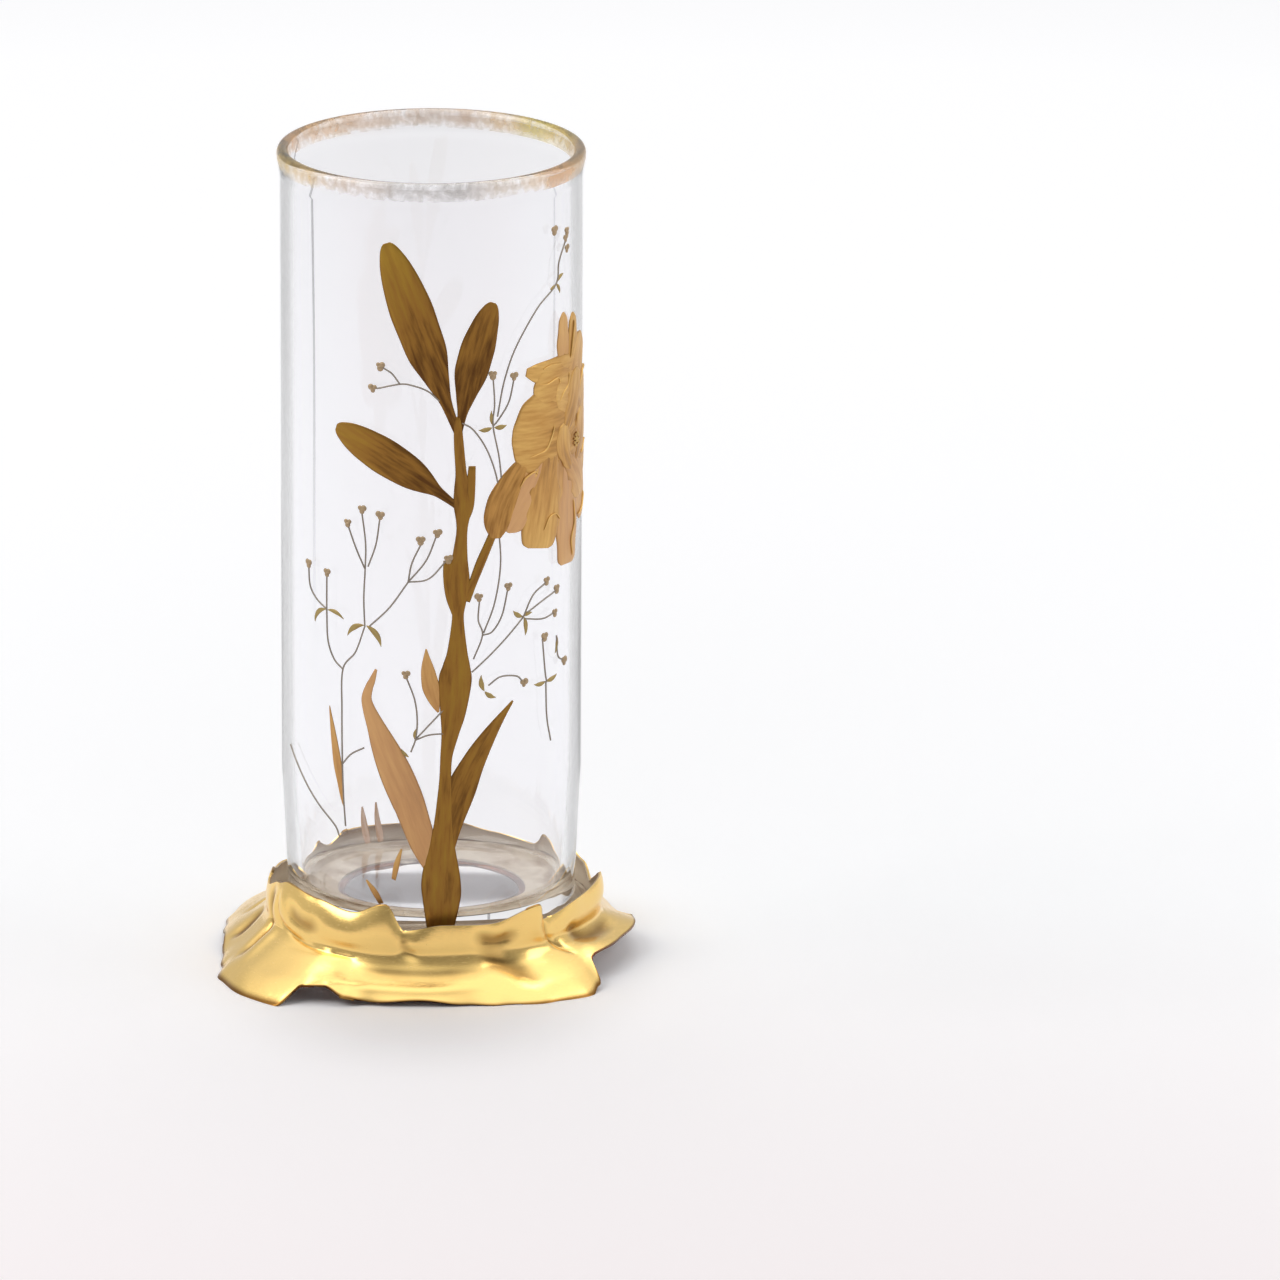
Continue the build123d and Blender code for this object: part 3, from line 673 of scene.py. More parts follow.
def small_gold(name, shade, metallic):
    """Gold of pen strokes, buds and stamens, mottled at the size of a brush tip."""
    material, add, place = new_material(name)
    mottle = add("ShaderNodeTexNoise", {"Vector": place, "Scale": per_size(1.5), "Detail": 3})
    darker = [part * 0.6 for part in shade]
    gold = add("ShaderNodeBsdfPrincipled", {
        "Base Color": mixed(add, mottle, shade, darker), "Metallic": metallic, "Roughness": 0.45})
    add("ShaderNodeOutputMaterial", {"Surface": gold})
    return material


def outer_radius(glass, height):
    """Outside radius of the glass at a height, or at an array of heights."""
    side = glass_high.x - glass.lip_flare
    heel_top = glass_low.z + glass.heel_round
    taper_top = glass_high.z - glass.lip_length
    low = glass_low.z + glass.taper
    return np.interp(height, (heel_top, low, taper_top, glass_high.z - glass.wall / 2),
                     (side - glass.heel_inset, side, side, side + glass.lip_flare))


def on_glass(glass, angle, height, proud):
    """Points over the outside of the glass at compass angles and heights."""
    turn = np.radians(angle)
    radius = outer_radius(glass, height) + proud
    return polar(radius, turn, np.broadcast_to(height, turn.shape))


def glass_profile(glass):
    """Half section of the tube, from the middle of its underside over the lip to the middle inside."""
    side = glass_high.x - glass.lip_flare
    heel = side - glass.heel_inset
    taper_top = glass_low.z + glass.taper
    lip_low = glass_high.z - glass.lip_length
    lip_round = glass.wall / 2
    outside = [(heel * share, glass_low.z) for share in (0.25, 0.5, 0.75)]
    heel_top = glass_low.z + glass.heel_round
    outside += rounding(heel - glass.heel_round, heel_top, glass.heel_round, -90, 90, 12)
    outside += [(heel + (side - heel) * share, heel_top + (glass.taper - glass.heel_round) * share)
                for share in (0.25, 0.5, 0.75)]
    outside += [(side, taper_top + (lip_low - taper_top) * share) for share in np.linspace(0, 1, 12)]
    ease = (1 - np.cos(np.pi * np.linspace(0.1, 1, 8))) / 2
    flare_top = glass_high.z - lip_round
    outside += [(side + glass.lip_flare * part, lip_low + (flare_top - lip_low) * rise)
                for part, rise in zip(ease, np.linspace(0.1, 1, 8))]
    lip = rounding(side + glass.lip_flare - lip_round, flare_top, lip_round, 0, 180, 14)[1:]
    inner = side - glass.wall
    inside = [(inner + glass.lip_flare * part, lip_low + (flare_top - lip_low) * rise)
              for part, rise in zip(ease[-2::-1], np.linspace(1, 0.1, 8)[1:])]
    inside += [(inner, taper_top + (lip_low - taper_top) * share) for share in np.linspace(1, 0, 12)]
    well = heel - glass.wall
    floor = glass_low.z + glass.bottom
    inside += rounding(well - glass.well_round, floor + glass.well_round, glass.well_round, 0, -90, 12)
    inside += [(well * share, floor) for share in (0.6, 0.4, 0.2)]
    return outside, lip, inside


def softened(values, reach):
    """Values round the foot, each averaged with its neighbours up to so many steps away."""
    window = np.hanning(2 * reach + 3)[1:-1]
    looped = np.concatenate([values[-reach:], values, values[:reach]])
    return np.convolve(looped, window / window.sum(), mode="valid")


def foot_sections(foot, radius, angles):
    """Middle of the sheet at each angle from petal edge to skirt edge, crisp at both, soft in between."""
    collar = [np.array([eased(COLLAR_SHARES, angle, column) for angle in angles]) for column in (1, 2, 3)]
    skirt = [np.array([eased(SKIRT_SHARES, angle, column) for angle in angles]) for column in (1, 2)]
    soft_collar = [softened(values, len(angles) * 9 // 360) for values in collar]
    soft_skirt = [softened(values, len(angles) * 16 // 360) for values in skirt]
    neck = np.full(len(angles), radius + foot.collar_gap)
    section = []
    for height_share, curl_share, bulge_share in PETAL_SHARES:
        rise, curl, bulge = (soft + (crisp - soft) * height_share ** 1.5
                             for soft, crisp in zip(soft_collar, collar))
        top = foot.petal_low + foot.petal_rise * rise - foot.throat_top
        lean = foot.petal_curl * (curl * curl_share + bulge * bulge_share)
        section.append((neck + lean, foot.throat_top + top * height_share))
    belly = foot.petal_curl * 0.45 * soft_collar[2]
    section.append((neck + belly, np.full(len(angles), (foot.throat_top + foot.throat_low) / 2)))
    full = np.clip((soft_skirt[0] - 0.3) / 0.4, 0, 1)
    for reach_share, hollow_share, full_share in FALL_SHARES:
        flare, arch = (soft + (crisp - soft) * reach_share ** 4 for soft, crisp in zip(soft_skirt, skirt))
        lift = foot.arch * arch - foot.edge_sink
        height = lift + (foot.throat_low - lift) * (hollow_share + (full_share - hollow_share) * full)
        reach = (foot.skirt_spread + foot.skirt_flare * flare) * reach_share
        section.append((neck + reach + belly * max(0, 1 - reach_share / 0.5), height))
    return np.moveaxis(np.array(section), 2, 0)


def unit(vectors):
    """Vectors of length one."""
    return vectors / np.maximum(np.linalg.norm(vectors, axis=-1, keepdims=True), 1e-12)


def sheet_normals(middle):
    """Outward normals of the middle of the sheet, a grid of angles by stations."""
    down = np.gradient(middle, axis=1)
    around = np.roll(middle, -1, axis=0) - np.roll(middle, 1, axis=0)
    return unit(np.cross(down, around))


def chased(middle, angles):
    """How far each point of the sheet is pressed in by the chaser's marks, which fade at both ends."""
    press = np.zeros(middle.shape[:2])
    samples = 90
    ends = np.sin(np.clip(1.8 - 1.8 * np.abs(np.linspace(-1, 1, samples)), 0, 1) * math.pi / 2)
    for depth, half_width, places in CHASED_MARKS:
        line = smooth_line(np.array(places, float), samples)
        worked = np.zeros_like(press)
        for (angle, height), strength in zip(line, ends):
            turn = angle % 360 / 360 * len(angles)
            part = turn % 1
            column = middle[int(turn)] * (1 - part) + middle[(int(turn) + 1) % len(angles)] * part
            falling = np.maximum.accumulate(column[::-1, 2])
            station = len(column) - 1 - np.interp(height * MM, falling, np.arange(len(column)))
            mark = [np.interp(station, np.arange(len(column)), column[:, axis]) for axis in range(3)]
            away = np.linalg.norm(middle - mark, axis=-1) / (half_width * MM)
            worked = np.maximum(worked, strength * np.exp(-away ** 2))
        press += depth * MM * worked
    return press


def hammered(points, spacing):
    """Smooth random swell at each point, from -1 to 1."""
    flat = points.reshape(-1, 3) / spacing
    return np.array([noise.noise(point) for point in flat]).reshape(points.shape[:-1])


def settings(context, *names):
    """The scene's property groups for some of the names glass, foot, gilding and finish."""
    return [getattr(context.scene, "vase_" + name) for name in names]


class VASE_OT_glass(bpy.types.Operator):
    """Blow the glass cylinder with its thick bottom and flared lip"""

    bl_idname = "vase.glass"
    bl_label = "Blow the glass"

    def execute(self, context):
        glass = context.scene.vase_glass
        outside, lip, inside = glass_profile(glass)
        rows = spun(outside + lip + inside, glass.segments)
        turn = np.arctan2(rows[..., 1], rows[..., 0])
        waver = np.sin(3 * turn + 40 * rows[..., 2]) + 0.6 * np.sin(7 * turn - 25 * rows[..., 2])
        start = len(outside) + len(lip)
        end = len(rows) - 3
        rows[start:end, :, :2] += unit(rows[start:end, :, :2]) * glass.waver * waver[start:end, :, None]
        make_piece("clear_glass_tube", [skin(rows)], [clear_glass()], ["glass_tube"], sharp=60)
        return {"FINISHED"}


class VASE_OT_foot(bpy.types.Operator):
    """Raise the ruffled foot from sheet, chase its folds and gild its outside"""

    bl_idname = "vase.foot"
    bl_label = "Raise and chase the foot"

    def execute(self, context):
        foot, glass, finish = settings(context, "foot", "glass", "finish")
        side = glass_high.x - glass.lip_flare
        angles = 360 * np.arange(foot.steps) / foot.steps
        flat = smooth_line(foot_sections(foot, side, angles), foot.stations)
        turn = np.radians(angles)[:, None]
        middle = polar(flat[..., 0], turn, flat[..., 1])
        press = chased(middle, angles)
        swell = hammered(middle, spacing=12 * MM) * foot.hammer
        middle = middle - sheet_normals(middle) * (press + swell)[..., None]
        half = foot.sheet / 2
        drawn_in = 0.6
        for end, beside in ((0, 1), (-1, -2)):
            middle[:, end] -= unit(middle[:, end] - middle[:, beside]) * half * drawn_in
        normals = sheet_normals(middle)
        top_way = unit(middle[:, 0] - middle[:, 1])[:, None]
        low_way = unit(middle[:, -1] - middle[:, -2])[:, None]
        bend = np.radians((36, 72, 108, 144))[None, :, None]
        over_low = middle[:, -1:] + half * (np.cos(bend) * normals[:, -1:] + np.sin(bend) * low_way)
        over_top = middle[:, :1] + half * (-np.cos(bend) * normals[:, :1] + np.sin(bend) * top_way)
        outer = middle + normals * half
        inner = (middle - normals * half)[:, ::-1]
        rows = np.concatenate([outer, over_low, inner, over_top], axis=1)
        rows[..., 2] = np.maximum(rows[..., 2], 0)
        count = foot.stations
        slots = np.array([0] * (count + 2) + [1] * (count + 1) + [0] * 5)
        # Darkness for the gilt: patina in the chased hollows, wear on the petal tops and sheet edges, and
        # painted shade in the band along the skirt edge, under its curled lip.
        from_edge = np.arange(count)[::-1]
        hollow = np.maximum(np.clip(press / MM * 0.5, 0, 0.8), 0.75 * np.exp(-(from_edge / 3.4) ** 2))
        hollow[:, 0] = 0.45
        edge = np.full((foot.steps, 4), 0.55)
        hollows = np.concatenate([hollow, edge, hollow[:, ::-1], edge], axis=1)
        skins = [skin(rows, looped=True, slots=slots, hollow=hollows[..., None])]
        sides = [burnished_gilt(finish), browned_copper(finish, foot)]
        make_piece("ruffled_foot", skins, sides, ["foot_shell"], sharp=70)
        return {"FINISHED"}


class VASE_OT_seat(bpy.types.Operator):
    """Let the seat ring into the throat and pour the plaster bed"""

    bl_idname = "vase.seat"
    bl_label = "Seat ring and plaster"

    def execute(self, context):
        foot, glass, finish = settings(context, "foot", "glass", "finish")
        low, high, reach = ring_low.z, ring_high.z, ring_high.x
        burr = 0.25 * MM
        samples, turns = 14, 240
        across = np.linspace(foot.hole + burr, reach - burr, samples)
        dish = 0.12 * MM * np.sin(np.linspace(0, 3 * math.pi, samples))
        bottom = list(zip(across, low + burr * 0.6 + dish))
        top = [(place, high) for place in across[::-1]]
        profile = bottom + [(reach, low + burr), (reach, high - burr)] + top
        profile += [(foot.hole, high - burr), (foot.hole, low + burr)]
        make_piece("throat_ring", [skin(spun(profile, turns), looped=True)], [browned_copper(finish, foot)],
                   ["seat_ring"], sharp=60)
        inner = foot.hole + 2 * MM
        side = outer_radius(glass, bed_high.z)
        top = bed_high.z + 0.8 * MM
        profile = [(inner, high), (reach * 0.75, high), (reach, high), (reach, high + 0.8 * MM)]
        slope = np.linspace(0, 1, 9)[1:]
        profile += [(reach + (side + 0.3 * MM - reach) * part, high + (top - high) * part ** 1.4)
                    for part in slope]
        wet = 0.05 * MM
        bend = glass.heel_round
        heel = glass_high.x - glass.lip_flare - glass.heel_inset
        profile += [(side - wet, top - 0.3 * MM)]
        profile += rounding(heel - bend, glass_low.z + bend, bend - wet, 0, -90, 12)
        profile += [(inner, glass_low.z + wet)]
        rows = spun(profile, turns)
        upper = slice(4, 4 + 9)
        lumps = hammered(rows[upper], 4 * MM) + 0.5 * hammered(rows[upper], 1.3 * MM)
        rows[upper, :, 2] += np.clip(lumps, -1, 1) * foot.plaster_rise * np.linspace(0.2, 1, 9)[:, None]
        make_piece("plaster_bed", [skin(rows, looped=True)], [setting_plaster(finish)],
                   ["setting_bed"], sharp=60)
        return {"FINISHED"}


class VASE_OT_rim(bpy.types.Operator):
    """Brush the gold wash over the rim"""

    bl_idname = "vase.rim"
    bl_label = "Wash the rim"

    def execute(self, context):
        glass, gilding, finish = settings(context, "glass", "gilding", "finish")
        outside, lip, inside = glass_profile(glass)
        low = glass_high.z - gilding.rim_band
        path = [point for point in outside + lip + inside if point[1] > low]
        turns, samples = 360, 90
        fine = smooth_line(np.array(path), samples)
        along = unit(np.gradient(fine, axis=0))
        across = np.stack([along[:, 1], -along[:, 0]], axis=-1)
        profile = np.vstack([fine + across * gilding.wash, (fine - across * gilding.wash * 0.5)[::-1]])
        shares = np.array([[eased(WASH_SHARES, angle, column) for column in (1, 2, 3, 4)]
                           for angle in np.arange(turns)])
        lip_share = 0.72
        height = np.clip((profile[:, 1] - low) / gilding.rim_band, 0, 1)
        outer = profile[:, 0] > glass_high.x - glass.wall / 2
        cover = np.where(outer[:, None], shares[:, 0], shares[:, 1]) * 0.75
        share = height[:, None] / lip_share
        cover = np.where(share > 1, 0.05 + 0.3 * cover, cover - 0.5 * (1 - share) ** 2)
        tones = [np.broadcast_to(shares[:, column], cover.shape) for column in (2, 3)]
        wash = skin(spun(profile, turns), looped=True, left=np.stack([cover] + tones, axis=-1))
        make_piece("rim_wash", [wash], [gold_wash(finish)], ["rim_gilding"], sharp=70)
        return {"FINISHED"}


def painted(glass, gilding, centre, half, seed, lift=0.0, across=17, ridge=0.25, ripe=(0.0, 0.25), pink=0.0):
    """Skin of one stroke of raised gold, domed on the glass about a middle line of angle and height."""
    height = centre[:, 1] * MM
    radius = outer_radius(glass, height)
    arc = np.radians(centre[:, 0]) * radius
    line = np.stack([arc, height], axis=-1)
    along = unit(np.gradient(line, axis=0))
    side = np.stack([-along[:, 1], along[:, 0]], axis=-1)
    travel = np.concatenate([[0], np.cumsum(np.linalg.norm(np.diff(line, axis=0), axis=1))])
    place = np.sin(np.linspace(-1, 1, across) * math.pi / 2)
    flat = line[:, None] + side[:, None] * (half * MM)[:, None, None] * place[None, :, None]
    thinning = 1.2 * MM
    ends = np.sqrt(np.clip(np.minimum(travel, travel[-1] - travel) / thinning, 0, 1))
    dome = (1 - np.abs(place) ** 4) ** 0.5
    border = ridge * np.exp(-((np.abs(place) - 0.78) / 0.14) ** 2)
    raised = gilding.relief * (dome * (1 - ridge) + border * dome)
    vein = 0.3 * gilding.relief * np.exp(-(place / 0.07) ** 2) if ridge else 0 * place
    every = flat.shape[:2]
    grain = np.stack([place * half[:, None], np.broadcast_to(travel[:, None] / MM, every),
                      np.full(every, seed * 7.3)], axis=-1)
    brushed = np.array([noise.noise((point[0] * 1.3, point[1] * 0.16, point[2]))
                        for point in grain.reshape(-1, 3)])
    brushed = brushed.reshape(every) * 0.22 * gilding.relief * dome
    proud = ends[:, None] * (raised - vein + brushed) + lift
    surface = outer_radius(glass, flat[..., 1])
    top, back = (polar(shell, flat[..., 0] / radius[:, None], flat[..., 1])
                 for shell in (surface + proud, surface - gilding.sunk))
    slots = np.array([0] * across + [1] * (across - 1) + [0])
    edges = np.maximum(np.abs(place), 1 - ends[:, None] ** 2 * 0.9)
    ripening = np.broadcast_to(np.interp(travel / travel[-1], (0.35, 1), ripe)[:, None], every)
    looks = np.stack([edges, ripening, np.full(every, pink)], axis=-1)
    return skin(np.concatenate([top, back[:, ::-1]], axis=1), slots=slots,
                grain=np.concatenate([grain, grain[:, ::-1]], axis=1),
                looks=np.concatenate([looks, looks[:, ::-1]], axis=1))


def blade(glass, gilding, shares, row, seed, samples=56, ragged=0.035, **looks):
    """Leaf or petal from its root to its tip about a bent middle line, its width from a table of shares."""
    root_angle, root_height, tip_angle, tip_height, width, bend = row
    start = np.array([math.radians(root_angle) * GLASS_RADIUS, root_height])
    reach = np.array([math.radians(tip_angle) * GLASS_RADIUS, tip_height]) - start
    size = np.linalg.norm(reach)
    side = np.array([-reach[1], reach[0]]) / size
    place = (1 - np.cos(np.linspace(0, math.pi, samples))) / 2
    bow = 4 * bend * size * place * (1 - place)
    line = start + reach * place[:, None] + side * bow[:, None]
    table = smooth_line(np.array(shares, float), 160)
    half = width * np.interp(place, table[:, 0], table[:, 1])
    wobble = np.array([noise.noise((part * 6, seed * 3.1, 0.5)) for part in place]) * width * ragged
    centre = np.stack([np.degrees(line[:, 0] / GLASS_RADIUS), line[:, 1]], axis=-1)
    half = np.maximum(half + wobble * np.sin(place * math.pi), LEAST_HALF)
    return painted(glass, gilding, centre, half, seed, **looks)


def shoot(glass, gilding, places, seed, samples=90, **looks):
    """Stroke through angles and heights whose half width is the third value of each place."""
    line = smooth_line(np.array(places, float), samples)
    return painted(glass, gilding, line[:, :2], np.maximum(line[:, 2], LEAST_HALF), seed, ridge=0, **looks)


class VASE_OT_branch(bpy.types.Operator):
    """Paint the stem, its shoots and its leaves in raised gold"""

    bl_idname = "vase.branch"
    bl_label = "Paint stem and leaves"

    def execute(self, context):
        glass, gilding, finish = settings(context, "glass", "gilding", "finish")
        leaf, stroke = (partial(draw, glass, gilding) for draw in (blade, shoot))
        paste = painted_gold(
            "raised_paste_gold", finish.paste_light, finish.paste, finish.paste_dark, finish.pink, 0.42)
        back = fired_back(finish)
        stems = [stroke(STEM, 1, 260, lift=gilding.relief * 0.2, ripe=(0.05, 0.05))]
        stems += [stroke(places, seed, ripe=(0.05, 0.1)) for seed, places in enumerate(SHOOTS, 2)]
        make_piece("painted_stem", stems, [paste, back], ["stem_gilding"], sharp=80)
        leaves = [leaf(LEAF_HALF_SHARES, row, seed, ripe=(-0.16, green))
                  for seed, (row, green) in enumerate(zip(BRANCH_LEAVES, (0.34, 0.04, 0.2)), 11)]
        leaves.append(leaf(SLIM_HALF_SHARES, HORN_LEAF, 15, ripe=(-0.1, 0.04)))
        make_piece("painted_leaves", leaves, [paste, back], ["leaf_gilding"], sharp=80)
        pale = petal_gold("thin_tan_gold", finish, 0.5)
        low = [leaf(SLIM_HALF_SHARES, row, seed, pink=0.3) for seed, row in enumerate(LOW_LEAVES, 21)]
        low += [stroke(places, 31 + order, lift=-gilding.relief * 0.4, pink=0.2 if order else 0.6)
                for order, places in enumerate(LOW_SHOOTS)]
        make_piece("painted_low_leaves", low, [pale, back], ["low_gilding"], sharp=80)
        return {"FINISHED"}


class VASE_OT_blossom(bpy.types.Operator):
    """Paint the open flower, petal over petal, with its calyx and raised lines"""

    bl_idname = "vase.blossom"
    bl_label = "Paint the blossom"

    def execute(self, context):
        glass, gilding, finish = settings(context, "glass", "gilding", "finish")
        leaf, stroke = (partial(draw, glass, gilding) for draw in (blade, shoot))
        matt = petal_gold("pale_matt_gold", finish, 0.44)
        back = fired_back(finish)
        skins = [leaf(CALYX_HALF_SHARES, CALYX, 40, lift=gilding.relief * 0.7, ripe=(-0.1, -0.05)),
                 leaf(CALYX_HALF_SHARES, LEFT_PETAL, 39, lift=gilding.relief * 0.6, ripe=(0.1, 0.2))]
        for shares, rows, seed in ((PETAL_HALF_SHARES, PETALS, 41), (SQUARE_HALF_SHARES, LOW_PETALS, 65)):
            skins += [leaf(shares, row[:6], seed + order, lift=gilding.relief * row[6], ripe=(-0.04, 0.22),
                           pink=row[7] * 0.75, ridge=0.06, ragged=0.16) for order, row in enumerate(rows)]
        # Raised lines set in the light end of the gold: real relief, with the highlight along them painted
        # in.
        skins += [stroke(places, seed, 40, lift=gilding.relief * 1.5, across=9, ripe=(0.35, 0.4))
                  for seed, places in enumerate(PETAL_LINES, 71)]
        make_piece("painted_blossom", skins, [matt, back], ["blossom_gilding"], sharp=80)
        return {"FINISHED"}


def new_tree(name, sockets):
    """A geometry tree with its named inputs, what adds a node to it, and its group input node."""
    tree = bpy.data.node_groups.new(name, "GeometryNodeTree")
    tree.interface.new_socket("Geometry", in_out="OUTPUT", socket_type="NodeSocketGeometry")
    for label, kind in (("Geometry", "Geometry"),) + sockets + (("Material", "Material"),):
        tree.interface.new_socket(label, in_out="INPUT", socket_type="NodeSocket" + kind)
    add = partial(add_node, tree)
    return tree, add, add("NodeGroupInput").outputs


def end_tree(add, geometry, material):
    """Realizes what the tree made, gives it its material and leads it to the output."""
    solid = add("GeometryNodeRealizeInstances", {0: geometry})
    shaded = add("GeometryNodeSetShadeSmooth", {0: solid})
    add("NodeGroupOutput", {0: add("GeometryNodeSetMaterial", {0: shaded, "Material": material})})


def stroke_tree():
    """Geometry tree that turns lines on the glass into round pen strokes."""
    tree, add, given = new_tree("pen_strokes", (("Stroke radius", "Float"), ("Step", "Float")))
    even = add("GeometryNodeResampleCurve", {0: given[0], "Length": given["Step"]}, mode="LENGTH")
    ring = add("GeometryNodeCurvePrimitiveCircle", {"Resolution": 8, "Radius": given["Stroke radius"]})
    end_tree(add, add("GeometryNodeCurveToMesh", {0: even, 1: ring, "Fill Caps": True}), given["Material"])
    return tree


def grain_tree():
    """Geometry tree that sets a flattened grain of gold on each point, square to the glass."""
    tree, add, given = new_tree("gold_grains", (("Grain radius", "Float"), ("Seed", "Int")))
    ball = add("GeometryNodeMeshIcoSphere", {"Radius": given["Grain radius"], "Subdivisions": 2})
    flat = add("GeometryNodeTransform", {0: ball, "Scale": (1, 1, 0.55)})
    place = add("GeometryNodeInputPosition")
    outward = add("ShaderNodeVectorMath", {0: place, 1: (1, 1, 0)}, operation="MULTIPLY")
    turned = add("FunctionNodeAlignRotationToVector", {"Vector": outward}, axis="Z")
    spread = add("FunctionNodeRandomValue", {
        "Min": 0.7, "Max": 1.15, "Seed": given["Seed"]}, data_type="FLOAT")
    end_tree(add, add("GeometryNodeInstanceOnPoints", {
        0: given[0], "Instance": flat, "Rotation": turned, "Scale": spread}), given["Material"])
    return tree


def grown(name, source, tree, values):
    """Runs a geometry tree on a source and returns the plain mesh that it makes."""
    bpy.context.scene.collection.objects.link(source)
    modifier = source.modifiers.new(tree.name, "NODES")
    modifier.node_group = tree
    for item in tree.interface.items_tree:
        if item.in_out == "INPUT" and item.name in values:
            modifier[item.identifier] = values[item.name]
    depsgraph = bpy.context.evaluated_depsgraph_get()
    mesh = bpy.data.meshes.new_from_object(source.evaluated_get(depsgraph))
    mesh.name = name
    source.modifiers.clear()
    bpy.data.objects.remove(source)
    if not mesh.polygons:
        raise RuntimeError(name + " came out empty")
    return mesh


def grain_points(name, glass, places, proud):
    """Object with one loose point on the glass for each place."""
    mesh = bpy.data.meshes.new(name)
    angle, height = np.array(places, float).T
    mesh.from_pydata(on_glass(glass, angle, height * MM, proud).tolist(), [], [])
    return bpy.data.objects.new(name, mesh)


def beside(place, radius, turn):
    """Angle and height of a point a few millimetres from a place on the glass, at a turn in degrees."""
    turn = math.radians(turn)
    return place[0] + math.degrees(radius * math.cos(turn) / GLASS_RADIUS), place[1] + radius * math.sin(turn)


class VASE_OT_sprigs(bpy.types.Operator):
    """Draw the fine sprigs: pen strokes, buds of three grains, bracts and the stamens of the blossom"""

    bl_idname = "vase.sprigs"
    bl_label = "Draw the sprigs"

    def execute(self, context):
        glass, gilding, finish = settings(context, "glass", "gilding", "finish")
        curve = bpy.data.curves.new("strokes", "CURVE")
        curve.dimensions = "3D"
        for places in STRANDS:
            line = smooth_line(np.array(places, float), 12 * len(places))
            points = on_glass(glass, line[:, 0], line[:, 1] * MM, gilding.thread * 0.35)
            spline = curve.splines.new("POLY")
            spline.points.add(len(points) - 1)
            spline.points.foreach_set("co", np.hstack([points, np.ones((len(points), 1))]).ravel())
        pen = small_gold("pen_gold", finish.pen, 0.5)
        strokes = grown("sprig_strokes", bpy.data.objects.new("strokes", curve), stroke_tree(), {
            "Stroke radius": gilding.thread, "Step": gilding.thread_step, "Material": pen})
        place_piece("sprig_strokes", strokes, [pen], ())
        clusters = [beside(place, 0.7, turn) for place in BUDS for turn in (30, 150, 270)]
        grain = small_gold("bud_gold", finish.bud, 0.4)
        tree = grain_tree()
        buds = grown("sprig_buds", grain_points("bud_points", glass, clusters, 0), tree, {
            "Grain radius": gilding.bud, "Seed": 4, "Material": grain})
        place_piece("sprig_buds", buds, [grain], ())
        stamens = [beside(HEART, radius, 360 * step / count)
                   for radius, count in ((0.6, 5), (1.8, 9)) for step in range(count)]
        pollen = small_gold("pollen_gold", finish.petal_light, 0.4)
        points = grain_points("stamen_points", glass, stamens, 3 * gilding.relief)
        heart = grown("blossom_stamens", points, tree, {
            "Grain radius": gilding.bud * 0.6, "Seed": 9, "Material": pollen})
        place_piece("blossom_stamens", heart, [pollen], ())
        green = painted_gold("green_gold", finish.bract, finish.bract, finish.paste, finish.pink, 0.45)
        bracts = [blade(glass, gilding, SLIM_HALF_SHARES, row, seed, samples=24, across=9)
                  for seed, row in enumerate(BRACTS, 80)]
        make_piece("sprig_bracts", bracts, [green, fired_back(finish)], sharp=80)
        return {"FINISHED"}


def floor_material(stage):
    """Matt studio paper that keeps the shadow, with a painted shadow just ahead of the foot where its glow
    fades, and turns into the white of the room away from the vase.
    """
    material, add, place = new_material("studio_paper")
    away = add("ShaderNodeVectorMath", {0: place}, operation="LENGTH")
    depth = add("ShaderNodeSeparateXYZ", {0: place}).outputs["Y"]
    far = add("ShaderNodeMapRange", {"Value": depth, "From Min": -0.5, "From Max": 0.05})
    tint = mixed(add, far, linear("#f3e9ea"), linear("#fcfcfd"))
    # Painted shadow: the paper's glow fades out in an oval centred 30 mm in front of the axis.
    ahead = add("ShaderNodeVectorMath", {
        0: place, 1: (1.35, 1, 1), 2: (0, 0.03, 0)}, operation="MULTIPLY_ADD")
    close = add("ShaderNodeVectorMath", {0: ahead}, operation="LENGTH")
    glow_past_painted_shadow = add("ShaderNodeMapRange", {
        "Value": close, "From Min": 0.04, "From Max": 0.1, "To Max": stage.floor_glow},
        interpolation_type="SMOOTHSTEP")
    far_glow = add("ShaderNodeMapRange", {"Value": away, "From Min": 0.08, "From Max": 1.1, "To Max": 0.32})
    # Seen through the glass the paper glows less: painted shade inside the glass.
    bent = add("ShaderNodeMapRange", {
        "Value": add("ShaderNodeLightPath").outputs["Is Transmission Ray"], "To Min": 1, "To Max": 0.45})
    lift = add("ShaderNodeMath", {0: far_glow, 1: bent, 2: glow_past_painted_shadow}, operation="MULTIPLY_ADD")
    glow = add("ShaderNodeEmission", {"Color": tint, "Strength": lift})
    paper = add("ShaderNodeBsdfDiffuse", {"Color": tint})
    near = add("ShaderNodeAddShader", {0: paper, 1: glow})
    white = add("ShaderNodeEmission", {"Color": (*linear("#fcfcfd"), 1)})
    leave = add("ShaderNodeMapRange", {"Value": away, "From Min": 1, "From Max": 2.4})
    both = add("ShaderNodeMixShader", {0: leave, 1: near, 2: white})
    add("ShaderNodeOutputMaterial", {"Surface": both})
    return material


